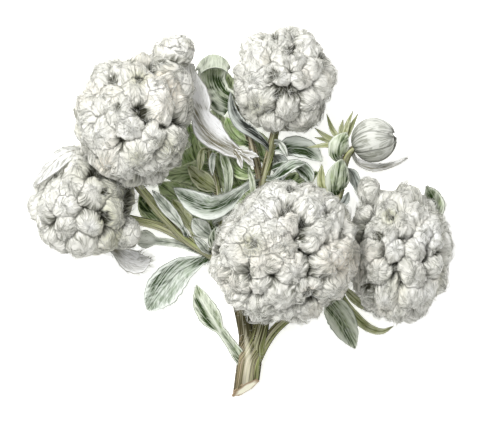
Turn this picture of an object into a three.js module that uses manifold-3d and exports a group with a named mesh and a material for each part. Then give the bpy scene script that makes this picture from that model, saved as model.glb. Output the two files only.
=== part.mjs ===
// A cut sprig of woolly cudweed, lying down: one branching stem, five woolly flower heads,
// a closed bud on a leafy stalk, and felted leaves. Millimetres, +Z up from the surface that
// it lies on, +Y from the cut end towards the top head. The origin is on that surface, in the
// middle of the sprig's length and width.
import * as THREE from "three";
import Module from "manifold-3d";
import { ConvexHull } from "three/addons/math/ConvexHull.js";
import { mergeVertices } from "three/addons/utils/BufferGeometryUtils.js";

const wasm = await Module();
wasm.setup();

// Driving dimensions
const GAP = 0.3; // clearance between a leaf or a head and the stem that carries it
const WOOL_GAP = 0.7; // clearance between a head's wool and a leaf that is tucked into it
const LEAF_THICKNESS = 0.72; // felt and blade together, on the midrib
const STEM_SIDES = 8;
const STEM_STEP = 2.9; // length of one ring of facets along a stem
const CREASE_DEPTH = 0.82; // depth of the crease between two capitula, in capitulum radii
const DOME_SHARE = 0.62; // where a capitulum's shoulder lies between its tip and its crease
const TIP_HEIGHT = 1.02; // mean height of a capitulum's tip, in half widths of its head
const SHOULDER_DROP = 0.2; // how far the shoulder is below the tip, as a share of the crease
const SADDLE_DEPTH = 0.9; // depth of a crease half way between two corners, as a share of it
const STRAY = 0.34; // how far a capitulum strays from an even spread, in spacings
const SPOT_REACH = 0.96; // how near a head's edge, seen from above, a placed capitulum can stand
const SPOT_ROOM = 0.78; // how far the others keep from the placed ones, in spacings
const SWELL = 0.05; // how much the capitula of one head differ in height, in half widths
const SWELL_DRAWS = 500; // the first draw for those heights, after a head's seed
const BLADE_FULLNESS = 0.8; // below 1 a blade is fuller than a half sine
const STALK_FADE = 0.2; // the share of a leaf's length in which its stalk runs out under the blade
const MARGIN_THINNING = 0.16; // how much thinner a blade is at its margins
const MARGIN_LEAD = 0.6; // how far one margin's waves are ahead of the other's, in half waves

// Felt and stem colours
const WOOL_WHITE = 0xd9d8cf;
const BUD_WHITE = 0xd2d3ca;
const STEM_OLIVE = 0x8e8b6a;
const SILVER_GREEN = 0xa3ae9e;
const SAGE = 0x93a083;
const DARK_GREEN = 0x55683f;
const YELLOW_GREEN = 0xa3a878;
const PALE_FELT = 0xc2c6b8;
const GREY_FELT = 0x8d928c;

const material = (color) => new THREE.MeshStandardMaterial({ color, roughness: 0.95, metalness: 0 });
const vector = (values) => new THREE.Vector3(...values);

// A repeatable draw between 0 and 1.
function draw(number) {
  const value = Math.sin(number * 12.9898) * 43758.5453;
  return value - Math.floor(value);
}

// A closed three.js geometry as a solid that can be joined and cut.
function solidOf(geometry) {
  const bare = new THREE.BufferGeometry().setAttribute("position", geometry.getAttribute("position"));
  if (geometry.index) bare.setIndex(geometry.index);
  const merged = mergeVertices(bare, 1e-4);
  return new wasm.Manifold(
    new wasm.Mesh({
      numProp: 3,
      vertProperties: merged.attributes.position.array,
      triVerts: new Uint32Array(merged.index.array),
    }),
  );
}

// A solid as a named mesh that stands at `place`, with its vertices counted from there.
function meshOf(name, solid, color, place) {
  const made = solid.getMesh();
  const geometry = new THREE.BufferGeometry();
  geometry.setAttribute("position", new THREE.BufferAttribute(made.vertProperties, 3));
  geometry.setIndex(new THREE.BufferAttribute(made.triVerts, 1));
  geometry.translate(-place[0], -place[1], -place[2]);
  geometry.computeVertexNormals();
  const mesh = new THREE.Mesh(geometry, material(color));
  mesh.name = name;
  mesh.position.set(...place);
  return mesh;
}

// A geometry from points and triangles given by point number.
function geometryOf(points, triangles) {
  const geometry = new THREE.BufferGeometry();
  const numbers = points.flatMap((point) => point.toArray());
  geometry.setAttribute("position", new THREE.Float32BufferAttribute(numbers, 3));
  geometry.setIndex(triangles.flat());
  return geometry;
}

// The largest body of a solid, without the scraps that a cut leaves.
function largestBody(solid) {
  const bodies = solid.decompose();
  return bodies.reduce((best, body) => (body.volume() > best.volume() ? body : best));
}

// A stem along a curve through `points`, with a radius at each of them. `grow` makes it fatter
// and longer.
function stalkSolid({ points, radii }, grow) {
  const curve = new THREE.CatmullRomCurve3(points.map(vector));
  const steps = Math.max(2, Math.round(curve.getLength() / STEM_STEP));
  const frames = curve.computeFrenetFrames(steps, false);
  const rings = [];
  const triangles = [];
  for (let i = 0; i <= steps; i++) {
    const at = (i / steps) * (radii.length - 1);
    const before = Math.min(Math.floor(at), radii.length - 2);
    const radius = THREE.MathUtils.lerp(radii[before], radii[before + 1], at - before) + grow;
    for (let j = 0; j < STEM_SIDES; j++) {
      const angle = (j / STEM_SIDES) * 2 * Math.PI;
      const point = curve.getPoint(i / steps);
      if (i === 0) point.addScaledVector(frames.tangents[0], -grow);
      if (i === steps) point.addScaledVector(frames.tangents[steps], grow);
      point.addScaledVector(frames.normals[i], radius * Math.cos(angle));
      point.addScaledVector(frames.binormals[i], radius * Math.sin(angle));
      rings.push(point);
      if (i === steps) continue;
      const [a, b] = [i * STEM_SIDES + j, i * STEM_SIDES + ((j + 1) % STEM_SIDES)];
      triangles.push([a, b, b + STEM_SIDES], [a, b + STEM_SIDES, a + STEM_SIDES]);
    }
  }
  const last = steps * STEM_SIDES;
  for (let j = 1; j < STEM_SIDES - 1; j++) {
    triangles.push([0, j + 1, j], [last, last + j, last + j + 1]);
  }
  return solidOf(geometryOf(rings, triangles));
}

// The stems: the brown main stem to the left-hand heads, the green one to the top head, and
// their side stalks, one to each head and to the bud.
const STALKS = {
  main: {
    points: [
      [0.1, -31.5, 2.3], [1.0, -26.8, 2.2], [1.5, -23.6, 2.05], [1.0, -19.6, 1.7], [0.2, -15.6, 1.65],
      [-1.2, -11.2, 1.9], [-3.0, -8.0, 2.4], [-4.6, -6.4, 2.9],
    ],
    radii: [2.15, 2.1, 1.95, 1.25, 1.15, 1.1, 1.05, 0.95],
  },
  green: {
    points: [
      [1.8, -24.6, 2.0], [2.6, -21.5, 1.75], [3.3, -17.5, 1.6], [3.6, -11.0, 1.6], [3.4, -4.0, 1.8],
      [3.3, 1.5, 2.4], [3.9, 5.5, 3.1], [4.8, 9.6, 4.2], [5.7, 13.6, 5.4], [6.3, 17.0, 6.6],
    ],
    radii: [1.3, 1.5, 1.4, 1.1, 1.0, 0.95, 0.85, 0.75, 0.7, 0.65],
  },
  upper_left: {
    points: [
      [-3.6, -7.4, 2.5], [-5.6, -6.2, 3.2], [-8.5, -4.3, 4.5], [-11.7, -1.1, 6.4], [-14.4, 2.1, 8.2],
      [-16.5, 4.9, 9.7], [-17.2, 8.2, 11.2], [-17.3, 10.6, 12.4],
    ],
    radii: [0.8, 0.8, 0.75, 0.75, 0.75, 0.75, 0.7, 0.65],
  },
  left: {
    points: [
      [-3.8, -7.2, 2.6], [-6.2, -5.6, 2.9], [-9.9, -3.6, 3.5], [-13.0, -2.1, 4.2], [-16.2, -1.3, 5.0],
      [-19.5, -0.5, 6.0], [-22.0, 0.4, 6.8],
    ],
    radii: [0.8, 0.8, 0.75, 0.75, 0.7, 0.7, 0.6],
  },
  front: {
    points: [[3.6, -11.4, 1.6], [4.9, -8.9, 2.4], [6.2, -7.0, 4.2], [6.9, -6.3, 6.8], [7.0, -6.1, 9.2]],
    radii: [0.9, 0.95, 0.95, 0.9, 0.8],
  },
  right: {
    points: [
      [2.4, -24.2, 1.9], [3.9, -21.2, 1.5], [5.6, -18.8, 1.3], [8.2, -16.4, 1.3], [11.6, -13.9, 1.5],
      [15.0, -11.6, 2.2], [18.2, -9.6, 3.6], [21.4, -8.2, 5.4],
    ],
    radii: [0.9, 0.8, 0.8, 0.8, 0.8, 0.8, 0.75, 0.65],
  },
  bud: {
    points: [
      [3.4, -5.5, 1.8], [6.5, -4.0, 1.8], [10.5, -1.8, 2.1], [13.6, 0.0, 2.9], [15.4, 2.0, 3.9],
      [16.2, 4.6, 5.0], [16.6, 7.4, 6.0], [17.6, 9.8, 6.8], [19.8, 11.2, 7.2],
    ],
    radii: [0.8, 0.75, 0.75, 0.75, 0.75, 0.7, 0.65, 0.6, 0.5],
  },
  middle_shoot: {
    points: [
      [-2.8, -8.2, 2.3], [-3.2, -4.6, 2.7], [-3.3, -1.4, 3.1], [-3.4, 1.8, 3.5], [-3.8, 4.8, 3.9],
      [-4.6, 7.8, 4.5], [-5.0, 10.2, 5.0],
    ],
    radii: [0.75, 0.7, 0.65, 0.6, 0.55, 0.5, 0.4],
  },
  upper_shoot: {
    points: [
      [3.4, 2.4, 2.5], [3.0, 6.4, 3.3], [2.2, 9.8, 3.9], [1.1, 13.2, 4.5],
      [-0.4, 16.2, 5.0], [-1.6, 18.4, 5.3],
    ],
    radii: [0.7, 0.65, 0.65, 0.6, 0.5, 0.4],
  },
};

// The slanting cut at the foot of the main stem: a point on it and the way it faces.
const CUT_POINT = [0.6, -28.3, 2.25];
const CUT_FACING = [0.485, -0.818, 0.309];
const CUT_BLOCK = 12; // side of the block that is taken away beyond the cut

function stemSolid(grow) {
  const stems = Object.values(STALKS).map((stalk) => stalkSolid(stalk, grow));
  const joined = stems.reduce((all, stem) => all.add(stem));
  const facing = vector(CUT_FACING).normalize();
  const block = new THREE.BoxGeometry(CUT_BLOCK, CUT_BLOCK, CUT_BLOCK);
  block.applyQuaternion(new THREE.Quaternion().setFromUnitVectors(new THREE.Vector3(0, 0, 1), facing));
  const centre = vector(CUT_POINT).addScaledVector(facing, CUT_BLOCK / 2);
  block.translate(centre.x, centre.y, centre.z);
  return joined.subtract(solidOf(block));
}

// A woolly head is a ball of capitula. Each capitulum is a dome, and the domes meet in creases.
// `pressed` lists flat sides: where a neighbour, a bract or the surface presses the wool in.
// `lobes` are round knobs of wool that stand out of it, each at a place counted from its centre.
const FRONT_TO_RIGHT = [0.929, -0.02, -0.37]; // the way from the front head to the right-hand one
const UPPER_TO_LEFT = [-0.497, -0.763, -0.414]; // the way from the upper left head to the left one
const DOWN = [0, 0, -1];
const back = (way) => way.map((part) => -part);

const HEADS = {
  woolly_head_front: {
    centre: [7.0, -6.1, 15.4],
    half: [11.9, 11.8, 11.4],
    capitula: 62,
    seed: 11,
    pressed: [{ facing: FRONT_TO_RIGHT, reach: 11.0 }],
    spots: [
      [8.0, 3.8], [3.5, 2.1], [11.5, 1.8], [8.0, -1.4], [1.1, -0.3], [14.6, -1.1], [7.2, -5.3], [1.9, -4.6],
      [12.0, -3.8], [17.0, -6.2], [-1.8, -6.9], [3.5, -8.2], [8.3, -9.1], [14.1, -8.2], [-0.8, -11.2],
      [2.9, -11.5], [6.6, -13.4], [10.9, -13.0], [15.2, -12.0], [-3.4, -9.8], [-1.8, -14.4], [3.2, -15.8],
      [7.5, -16.6], [11.7, -16.0], [-1.6, -3.0], [18.1, -2.7], [15.4, 1.6], [4.5, 4.6], [11.8, 4.5],
      [18.2, -9.9], [5.3, -3.0],
    ],
  },
  woolly_head_upper_left: {
    centre: [-17.0, 14.7, 14.8],
    half: [9.4, 10.6, 9.2],
    capitula: 42,
    seed: 23,
    pressed: [{ facing: UPPER_TO_LEFT, reach: 8.7 }],
    lobes: [
      { at: [6.5, 10.9, -1.0], half: [3.0, 2.5, 2.6] },
      { at: [4.9, 8.5, -0.6], half: [2.8, 2.5, 2.6] },
      { at: [6.6, 5.6, -0.6], half: [2.7, 2.9, 2.6] },
    ],
    spots: [
      [-18.9, 23.2], [-22.9, 21.6], [-15.8, 23.5], [-10.7, 21.9], [-12.0, 17.4], [-16.6, 20.3],
      [-25.3, 17.4], [-21.8, 18.4], [-19.2, 16.2], [-25.3, 14.2], [-22.2, 12.0], [-17.4, 13.3],
      [-13.4, 12.0], [-9.6, 11.4], [-16.0, 8.8], [-21.1, 7.8], [-13.4, 6.6], [-18.6, 6.2], [-10.9, 9.1],
      [-24.5, 11.4], [-8.3, 18.1], [-12.8, 20.6],
    ],
  },
  woolly_head_left: {
    centre: [-25.2, 1.8, 7.8],
    half: [8.5, 9.4, 8.6],
    capitula: 30,
    seed: 37,
    rests: true,
    pressed: [
      { facing: back(UPPER_TO_LEFT), reach: 7.8 },
      { facing: [-0.75, 0.57, 0.34], reach: 6.6 },
    ],
    lobes: [{ at: [7.2, -4.9, 1.2], half: [1.9, 2.2, 2.0] }],
    spots: [
      [-26.1, 7.8], [-23.0, 3.4], [-19.2, -0.2], [-30.7, 4.0], [-27.8, 1.1], [-23.8, -2.4], [-28.2, -2.7],
      [-31.8, 0.5], [-32.0, -2.4], [-25.4, -6.2], [-20.8, -5.3], [-18.2, -4.0], [-19.4, 4.0], [-29.9, -5.1],
      [-27.2, 4.6],
    ],
  },
  woolly_head_top: {
    centre: [6.9, 21.4, 7.6],
    half: [8.2, 8.8, 8.5],
    capitula: 30,
    seed: 41,
    rests: true,
    spots: [
      [1.8, 25.1], [5.4, 28.3], [7.0, 26.1], [11.4, 27.4], [9.4, 24.5], [12.3, 23.5], [1.9, 21.3],
      [5.9, 21.9], [10.1, 21.3], [13.9, 19.7], [2.4, 17.3], [7.8, 15.8], [12.0, 17.6], [-0.6, 22.6],
      [-0.3, 19.0], [4.8, 13.6], [10.9, 13.9],
    ],
  },
  woolly_head_right: {
    centre: [25.4, -6.5, 8.0],
    half: [8.5, 11.0, 8.8],
    capitula: 44,
    seed: 53,
    rests: true,
    pressed: [{ facing: back(FRONT_TO_RIGHT), reach: 8.5 }],
    lobes: [{ at: [-4.8, 9.9, 1.4], half: [1.7, 2.1, 1.7] }],
    spots: [
      [18.7, 0.8], [25.9, 3.0], [23.0, 0.8], [28.8, 0.8], [17.9, -1.9], [21.0, -2.4], [23.8, -3.2],
      [26.2, -1.4], [29.4, -2.9], [19.7, -6.2], [24.8, -5.9], [28.3, -5.9], [31.8, -4.8], [21.9, -9.6],
      [27.7, -9.9], [31.5, -8.8], [23.2, -14.2], [27.5, -14.2], [19.0, -12.6], [30.4, -13.3], [25.3, -16.8],
      [31.5, -1.4], [22.4, 3.7],
    ],
  },
};

// The ways in which a head's capitula face. The ones seen from above stand at the head's `spots`.
// The others are even over the ball, each moved a little, where there is room beside those.
function capitulumFacings({ centre, half, capitula, seed, rests, spots }) {
  const turn = Math.PI * (3 - Math.sqrt(5));
  const spacing = Math.sqrt((4 * Math.PI) / capitula);
  const stray = STRAY * spacing;
  const placed = spots.map(([x, y]) => {
    const [across, along] = [(x - centre[0]) / half[0], (y - centre[1]) / half[1]];
    const share = Math.min(1, SPOT_REACH / Math.hypot(across, along));
    const up = Math.sqrt(1 - (share * across) ** 2 - (share * along) ** 2);
    return new THREE.Vector3(share * across, share * along, up);
  });
  const facings = [...placed];
  for (let i = 0; i < capitula; i++) {
    const height = 1 - (2 * (i + 0.5)) / capitula;
    const across = Math.sqrt(1 - height * height);
    const facing = new THREE.Vector3(across * Math.cos(i * turn), height, across * Math.sin(i * turn));
    facing.x += stray * (draw(seed + 3 * i) - 0.5);
    facing.y += stray * (draw(seed + 3 * i + 1) - 0.5);
    facing.z += stray * (draw(seed + 3 * i + 2) - 0.5);
    facing.normalize();
    if (placed.every((way) => way.angleTo(facing) > SPOT_ROOM * spacing)) facings.push(facing);
  }
  if (rests) {
    const down = vector(DOWN);
    facings.sort((a, b) => b.dot(down) - a.dot(down));
    facings[0] = down;
  }
  return facings;
}

// One head. `grow` swells it.
function headSolid(head, grow) {
  const facings = capitulumFacings(head);
  const half = vector(head.half).addScalar(grow);
  const centre = vector(head.centre);
  const flats = [...(head.pressed ?? [])];
  if (head.rests) flats.push({ facing: DOWN, reach: head.centre[2] });
  const planes = flats.map(({ facing, reach }) => ({
    facing: vector(facing).normalize(),
    reach: reach + grow,
  }));
  const crease = CREASE_DEPTH * Math.sqrt(Math.PI / head.capitula);
  const points = [];
  const ways = [];

  function addPoint(way, height) {
    const point = way.clone().multiply(half).multiplyScalar(height);
    for (const { facing, reach } of planes) {
      const out = point.dot(facing);
      if (out > reach) point.multiplyScalar(reach / out);
    }
    points.push(point.add(centre));
    ways.push(way);
    return points.length - 1;
  }

  // Each triangle of the facings' hull is a corner where three capitula meet.
  const hull = new ConvexHull().setFromPoints(facings);
  const corners = hull.faces.map((face) => {
    const edges = [face.edge, face.edge.next, face.edge.prev];
    const meeting = edges.map((edge) => facings.indexOf(edge.head().point));
    const index = addPoint(face.normal.clone().normalize(), 1 - crease);
    return { meeting, index };
  });
  const middles = new Map();
  function middleOf(one, other) {
    const key = [one.index, other.index].sort((a, b) => a - b).join();
    if (!middles.has(key)) {
      const way = ways[one.index].clone().add(ways[other.index]).normalize();
      middles.set(key, addPoint(way, 1 - SADDLE_DEPTH * crease));
    }
    return middles.get(key);
  }

  const triangles = [];
  facings.forEach((facing, i) => {
    const aside = Math.abs(facing.x) < 0.7 ? new THREE.Vector3(1, 0, 0) : new THREE.Vector3(0, 1, 0);
    const right = aside.cross(facing).normalize();
    const up = facing.clone().cross(right);
    const angle = (corner) => Math.atan2(ways[corner.index].dot(up), ways[corner.index].dot(right));
    const around = corners.filter(({ meeting }) => meeting.includes(i)).sort((a, b) => angle(a) - angle(b));
    const rim = around.flatMap((corner, k) => [
      corner.index,
      middleOf(corner, around[(k + 1) % around.length]),
    ]);
    const swell = SWELL * (draw(head.seed + SWELL_DRAWS + i) - 0.5);
    const tip = addPoint(facing, TIP_HEIGHT + swell);
    const shoulder = rim.map((index) => {
      const way = facing.clone().lerp(ways[index], DOME_SHARE).normalize();
      return addPoint(way, TIP_HEIGHT + swell - SHOULDER_DROP * crease);
    });
    rim.forEach((outer, k) => {
      const next = (k + 1) % rim.length;
      triangles.push([tip, shoulder[k], shoulder[next]]);
      triangles.push([shoulder[k], outer, rim[next]], [shoulder[k], rim[next], shoulder[next]]);
    });
  });

  let solid = solidOf(geometryOf(points, triangles));
  for (const lobe of head.lobes ?? []) {
    const ball = new THREE.IcosahedronGeometry(1, 1).scale(...lobe.half.map((size) => size + grow));
    const at = centre.clone().add(vector(lobe.at));
    solid = solid.add(solidOf(ball.translate(at.x, at.y, at.z)));
  }
  return solid;
}

// A leaf or bract: a closed blade along a spine from the stem to the tip.
// half: widest half width; widest: where along the blade; stalk: share of the length that is
// leaf stalk, and its half width; cup: how far the margins turn up (or down, below 0), in
// radians; wave: height, number and start of the margins' waves; face: the way the upper side looks.
function bladeSolid(leaf) {
  const { spine, half, widest = 0.55, stalk = [0.1, 0.5], cup = 0.4, wave = [0, 1, 0] } = leaf;
  const { face = [0, 0, 1], rows = 7, columns = 4, thickness = LEAF_THICKNESS, blunt = 0.22 } = leaf;
  const curve = new THREE.CatmullRomCurve3(spine.map(vector));
  const peak = Math.log(0.5) / Math.log(widest);
  const up = vector(face).normalize();
  const points = [];
  for (const side of [1, -1]) {
    for (let i = 0; i <= rows; i++) {
      const along = i / rows;
      const onBlade = Math.max(0, (along - stalk[0]) / (1 - stalk[0]));
      const bladeHalf = half * Math.sin(Math.PI * onBlade ** peak) ** BLADE_FULLNESS;
      const width = Math.max(bladeHalf, along < stalk[0] + STALK_FADE ? stalk[1] : 0, blunt);
      const forward = curve.getTangent(along);
      const across = forward.clone().cross(up).normalize();
      const normal = across.clone().cross(forward);
      for (let j = 0; j <= columns; j++) {
        const share = (2 * j) / columns - 1;
        const bend = cup === 0 ? 1e-3 : cup;
        const angle = share * bend;
        const radius = width / bend;
        const lead = share > 0 ? MARGIN_LEAD : 0;
        const phase = Math.PI * (2 * wave[1] * along + wave[2] + lead);
        const ripple = wave[0] * (width / half) * share ** 2 * Math.sin(phase);
        const felt = (thickness * (1 - MARGIN_THINNING * share ** 2)) / 2;
        const point = curve.getPoint(along);
        point.addScaledVector(across, radius * Math.sin(angle) - side * felt * Math.sin(angle));
        const rise = radius * (1 - Math.cos(angle)) + ripple;
        point.addScaledVector(normal, rise + side * felt * Math.cos(angle));
        points.push(point);
      }
    }
  }
  const line = columns + 1;
  const under = (rows + 1) * line;
  const triangles = [];
  for (let i = 0; i < rows; i++) {
    for (let j = 0; j < columns; j++) {
      const [a, b, c, d] = [i * line + j, i * line + j + 1, (i + 1) * line + j + 1, (i + 1) * line + j];
      triangles.push([a, b, c], [a, c, d]);
      triangles.push([a + under, c + under, b + under], [a + under, d + under, c + under]);
    }
    const [left, right] = [i * line, i * line + columns];
    triangles.push([left, left + line, left + line + under], [left, left + line + under, left + under]);
    triangles.push([right, right + under, right + line + under], [right, right + line + under, right + line]);
  }
  for (let j = 0; j < columns; j++) {
    const end = rows * line + j;
    triangles.push([j, j + under, j + 1 + under], [j, j + 1 + under, j + 1]);
    triangles.push([end, end + 1, end + 1 + under], [end, end + 1 + under, end + under]);
  }
  return solidOf(geometryOf(points, triangles));
}

// Leaves of the lower stem and of the left-hand branch.
const LEFT_LEAVES = {
  lower_left_leaf: {
    spine: [
      [0.4, -23.9, 2.6], [-1.1, -21.6, 3.2], [-2.6, -19.5, 3.7], [-4.3, -17.3, 4.0], [-5.9, -14.7, 3.9],
      [-7.0, -11.6, 3.1],
    ],
    half: 1.7, widest: 0.5, stalk: [0.42, 0.75], cup: 0.5, color: SAGE,
  },
  broad_left_leaf: {
    spine: [
      [-4.2, -6.8, 2.6], [-6.6, -7.8, 3.2], [-9.6, -9.3, 3.6], [-12.0, -11.8, 3.1], [-13.6, -13.8, 2.3],
      [-14.9, -15.6, 1.4],
    ],
    half: 2.8, widest: 0.58, stalk: [0.06, 0.8], cup: 0.35, wave: [0.25, 2, 0.2], rows: 9,
    color: SILVER_GREEN,
  },
  pale_lobed_leaf: {
    spine: [[-5.2, -6.5, 2.2], [-9.6, -5.0, 1.5], [-13.4, -4.5, 1.5], [-17.0, -3.9, 2.0]],
    half: 1.5, widest: 0.6, stalk: [0.6, 0.6], cup: 0.3, columns: 2, color: YELLOW_GREEN,
  },
  left_tuft_leaf: {
    spine: [
      [-22.0, -3.6, 3.6], [-20.2, -5.6, 3.5], [-18.2, -7.3, 3.3], [-16.3, -8.0, 2.9], [-14.4, -7.4, 2.3],
    ],
    half: 2.0, widest: 0.55, stalk: [0.2, 0.9], cup: 0.7, color: PALE_FELT, seat: "woolly_head_left",
  },
  left_head_bract: {
    spine: [[-24.8, 9.9, 10.2], [-27.4, 9.7, 11.0], [-30.4, 7.4, 10.4], [-33.0, 4.3, 9.0]],
    half: 1.9, widest: 0.5, stalk: [0, 0.9], cup: -0.3, face: [-0.62, 0.42, 0.66], color: WOOL_WHITE,
    seat: "woolly_head_left",
  },
  stalk_side_leaf: {
    spine: [
      [-8.5, -4.3, 4.6], [-8.9, -2.9, 6.2], [-10.2, -1.0, 7.5], [-12.3, 1.5, 9.0], [-14.0, 3.6, 10.0],
    ],
    half: 1.0, widest: 0.6, stalk: [0.2, 0.4], cup: 0.4, columns: 2, color: PALE_FELT,
  },
  olive_strap_leaf: {
    spine: [
      [-6.6, -5.6, 3.6], [-7.1, -3.8, 4.5], [-8.2, -1.6, 4.6], [-9.5, 0.4, 4.8], [-10.9, 2.2, 4.8],
    ],
    half: 1.2, widest: 0.6, stalk: [0.2, 0.6], cup: 0.4, columns: 2, color: YELLOW_GREEN,
  },
  back_leaf_junction: {
    spine: [[-3.2, -3.2, 2.9], [-4.6, -2.6, 1.7], [-6.8, -1.8, 1.2], [-9.2, -1.1, 1.1]],
    half: 1.8, widest: 0.5, stalk: [0.1, 0.45], cup: 0.2, rows: 5, columns: 2, color: DARK_GREEN,
  },
  back_leaf_stalks: {
    spine: [[-11.4, -2.9, 3.1], [-13.0, -1.2, 2.4], [-14.8, 0.8, 2.2], [-16.2, 2.9, 2.4]],
    half: 1.7, widest: 0.5, stalk: [0.1, 0.6], cup: 0.2, rows: 5, columns: 2, color: DARK_GREEN,
  },
  junction_leaf_pale: {
    spine: [[-3.3, -4.3, 2.8], [-4.8, -3.6, 4.2], [-6.2, -2.5, 5.6], [-7.6, -0.9, 6.3]],
    half: 1.5, widest: 0.6, stalk: [0.2, 0.4], cup: 0.4, columns: 2, rows: 6, color: PALE_FELT,
  },
  junction_leaf_edged: {
    spine: [[-4.6, -6.3, 3.0], [-5.3, -6.1, 5.2], [-6.2, -5.0, 7.0], [-7.4, -3.8, 7.7]],
    half: 0.75, widest: 0.5, stalk: [0.2, 0.4], cup: 0.4, columns: 2, rows: 6, color: PALE_FELT,
  },
  junction_leaf_dark: {
    spine: [[-3.1, -5.8, 2.6], [-3.7, -5.4, 4.4], [-3.8, -4.0, 6.0], [-3.8, -2.2, 7.2]],
    half: 1.4, widest: 0.55, stalk: [0.15, 0.6], cup: 0.5, rows: 6, columns: 2, color: SAGE,
  },
};

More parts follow.
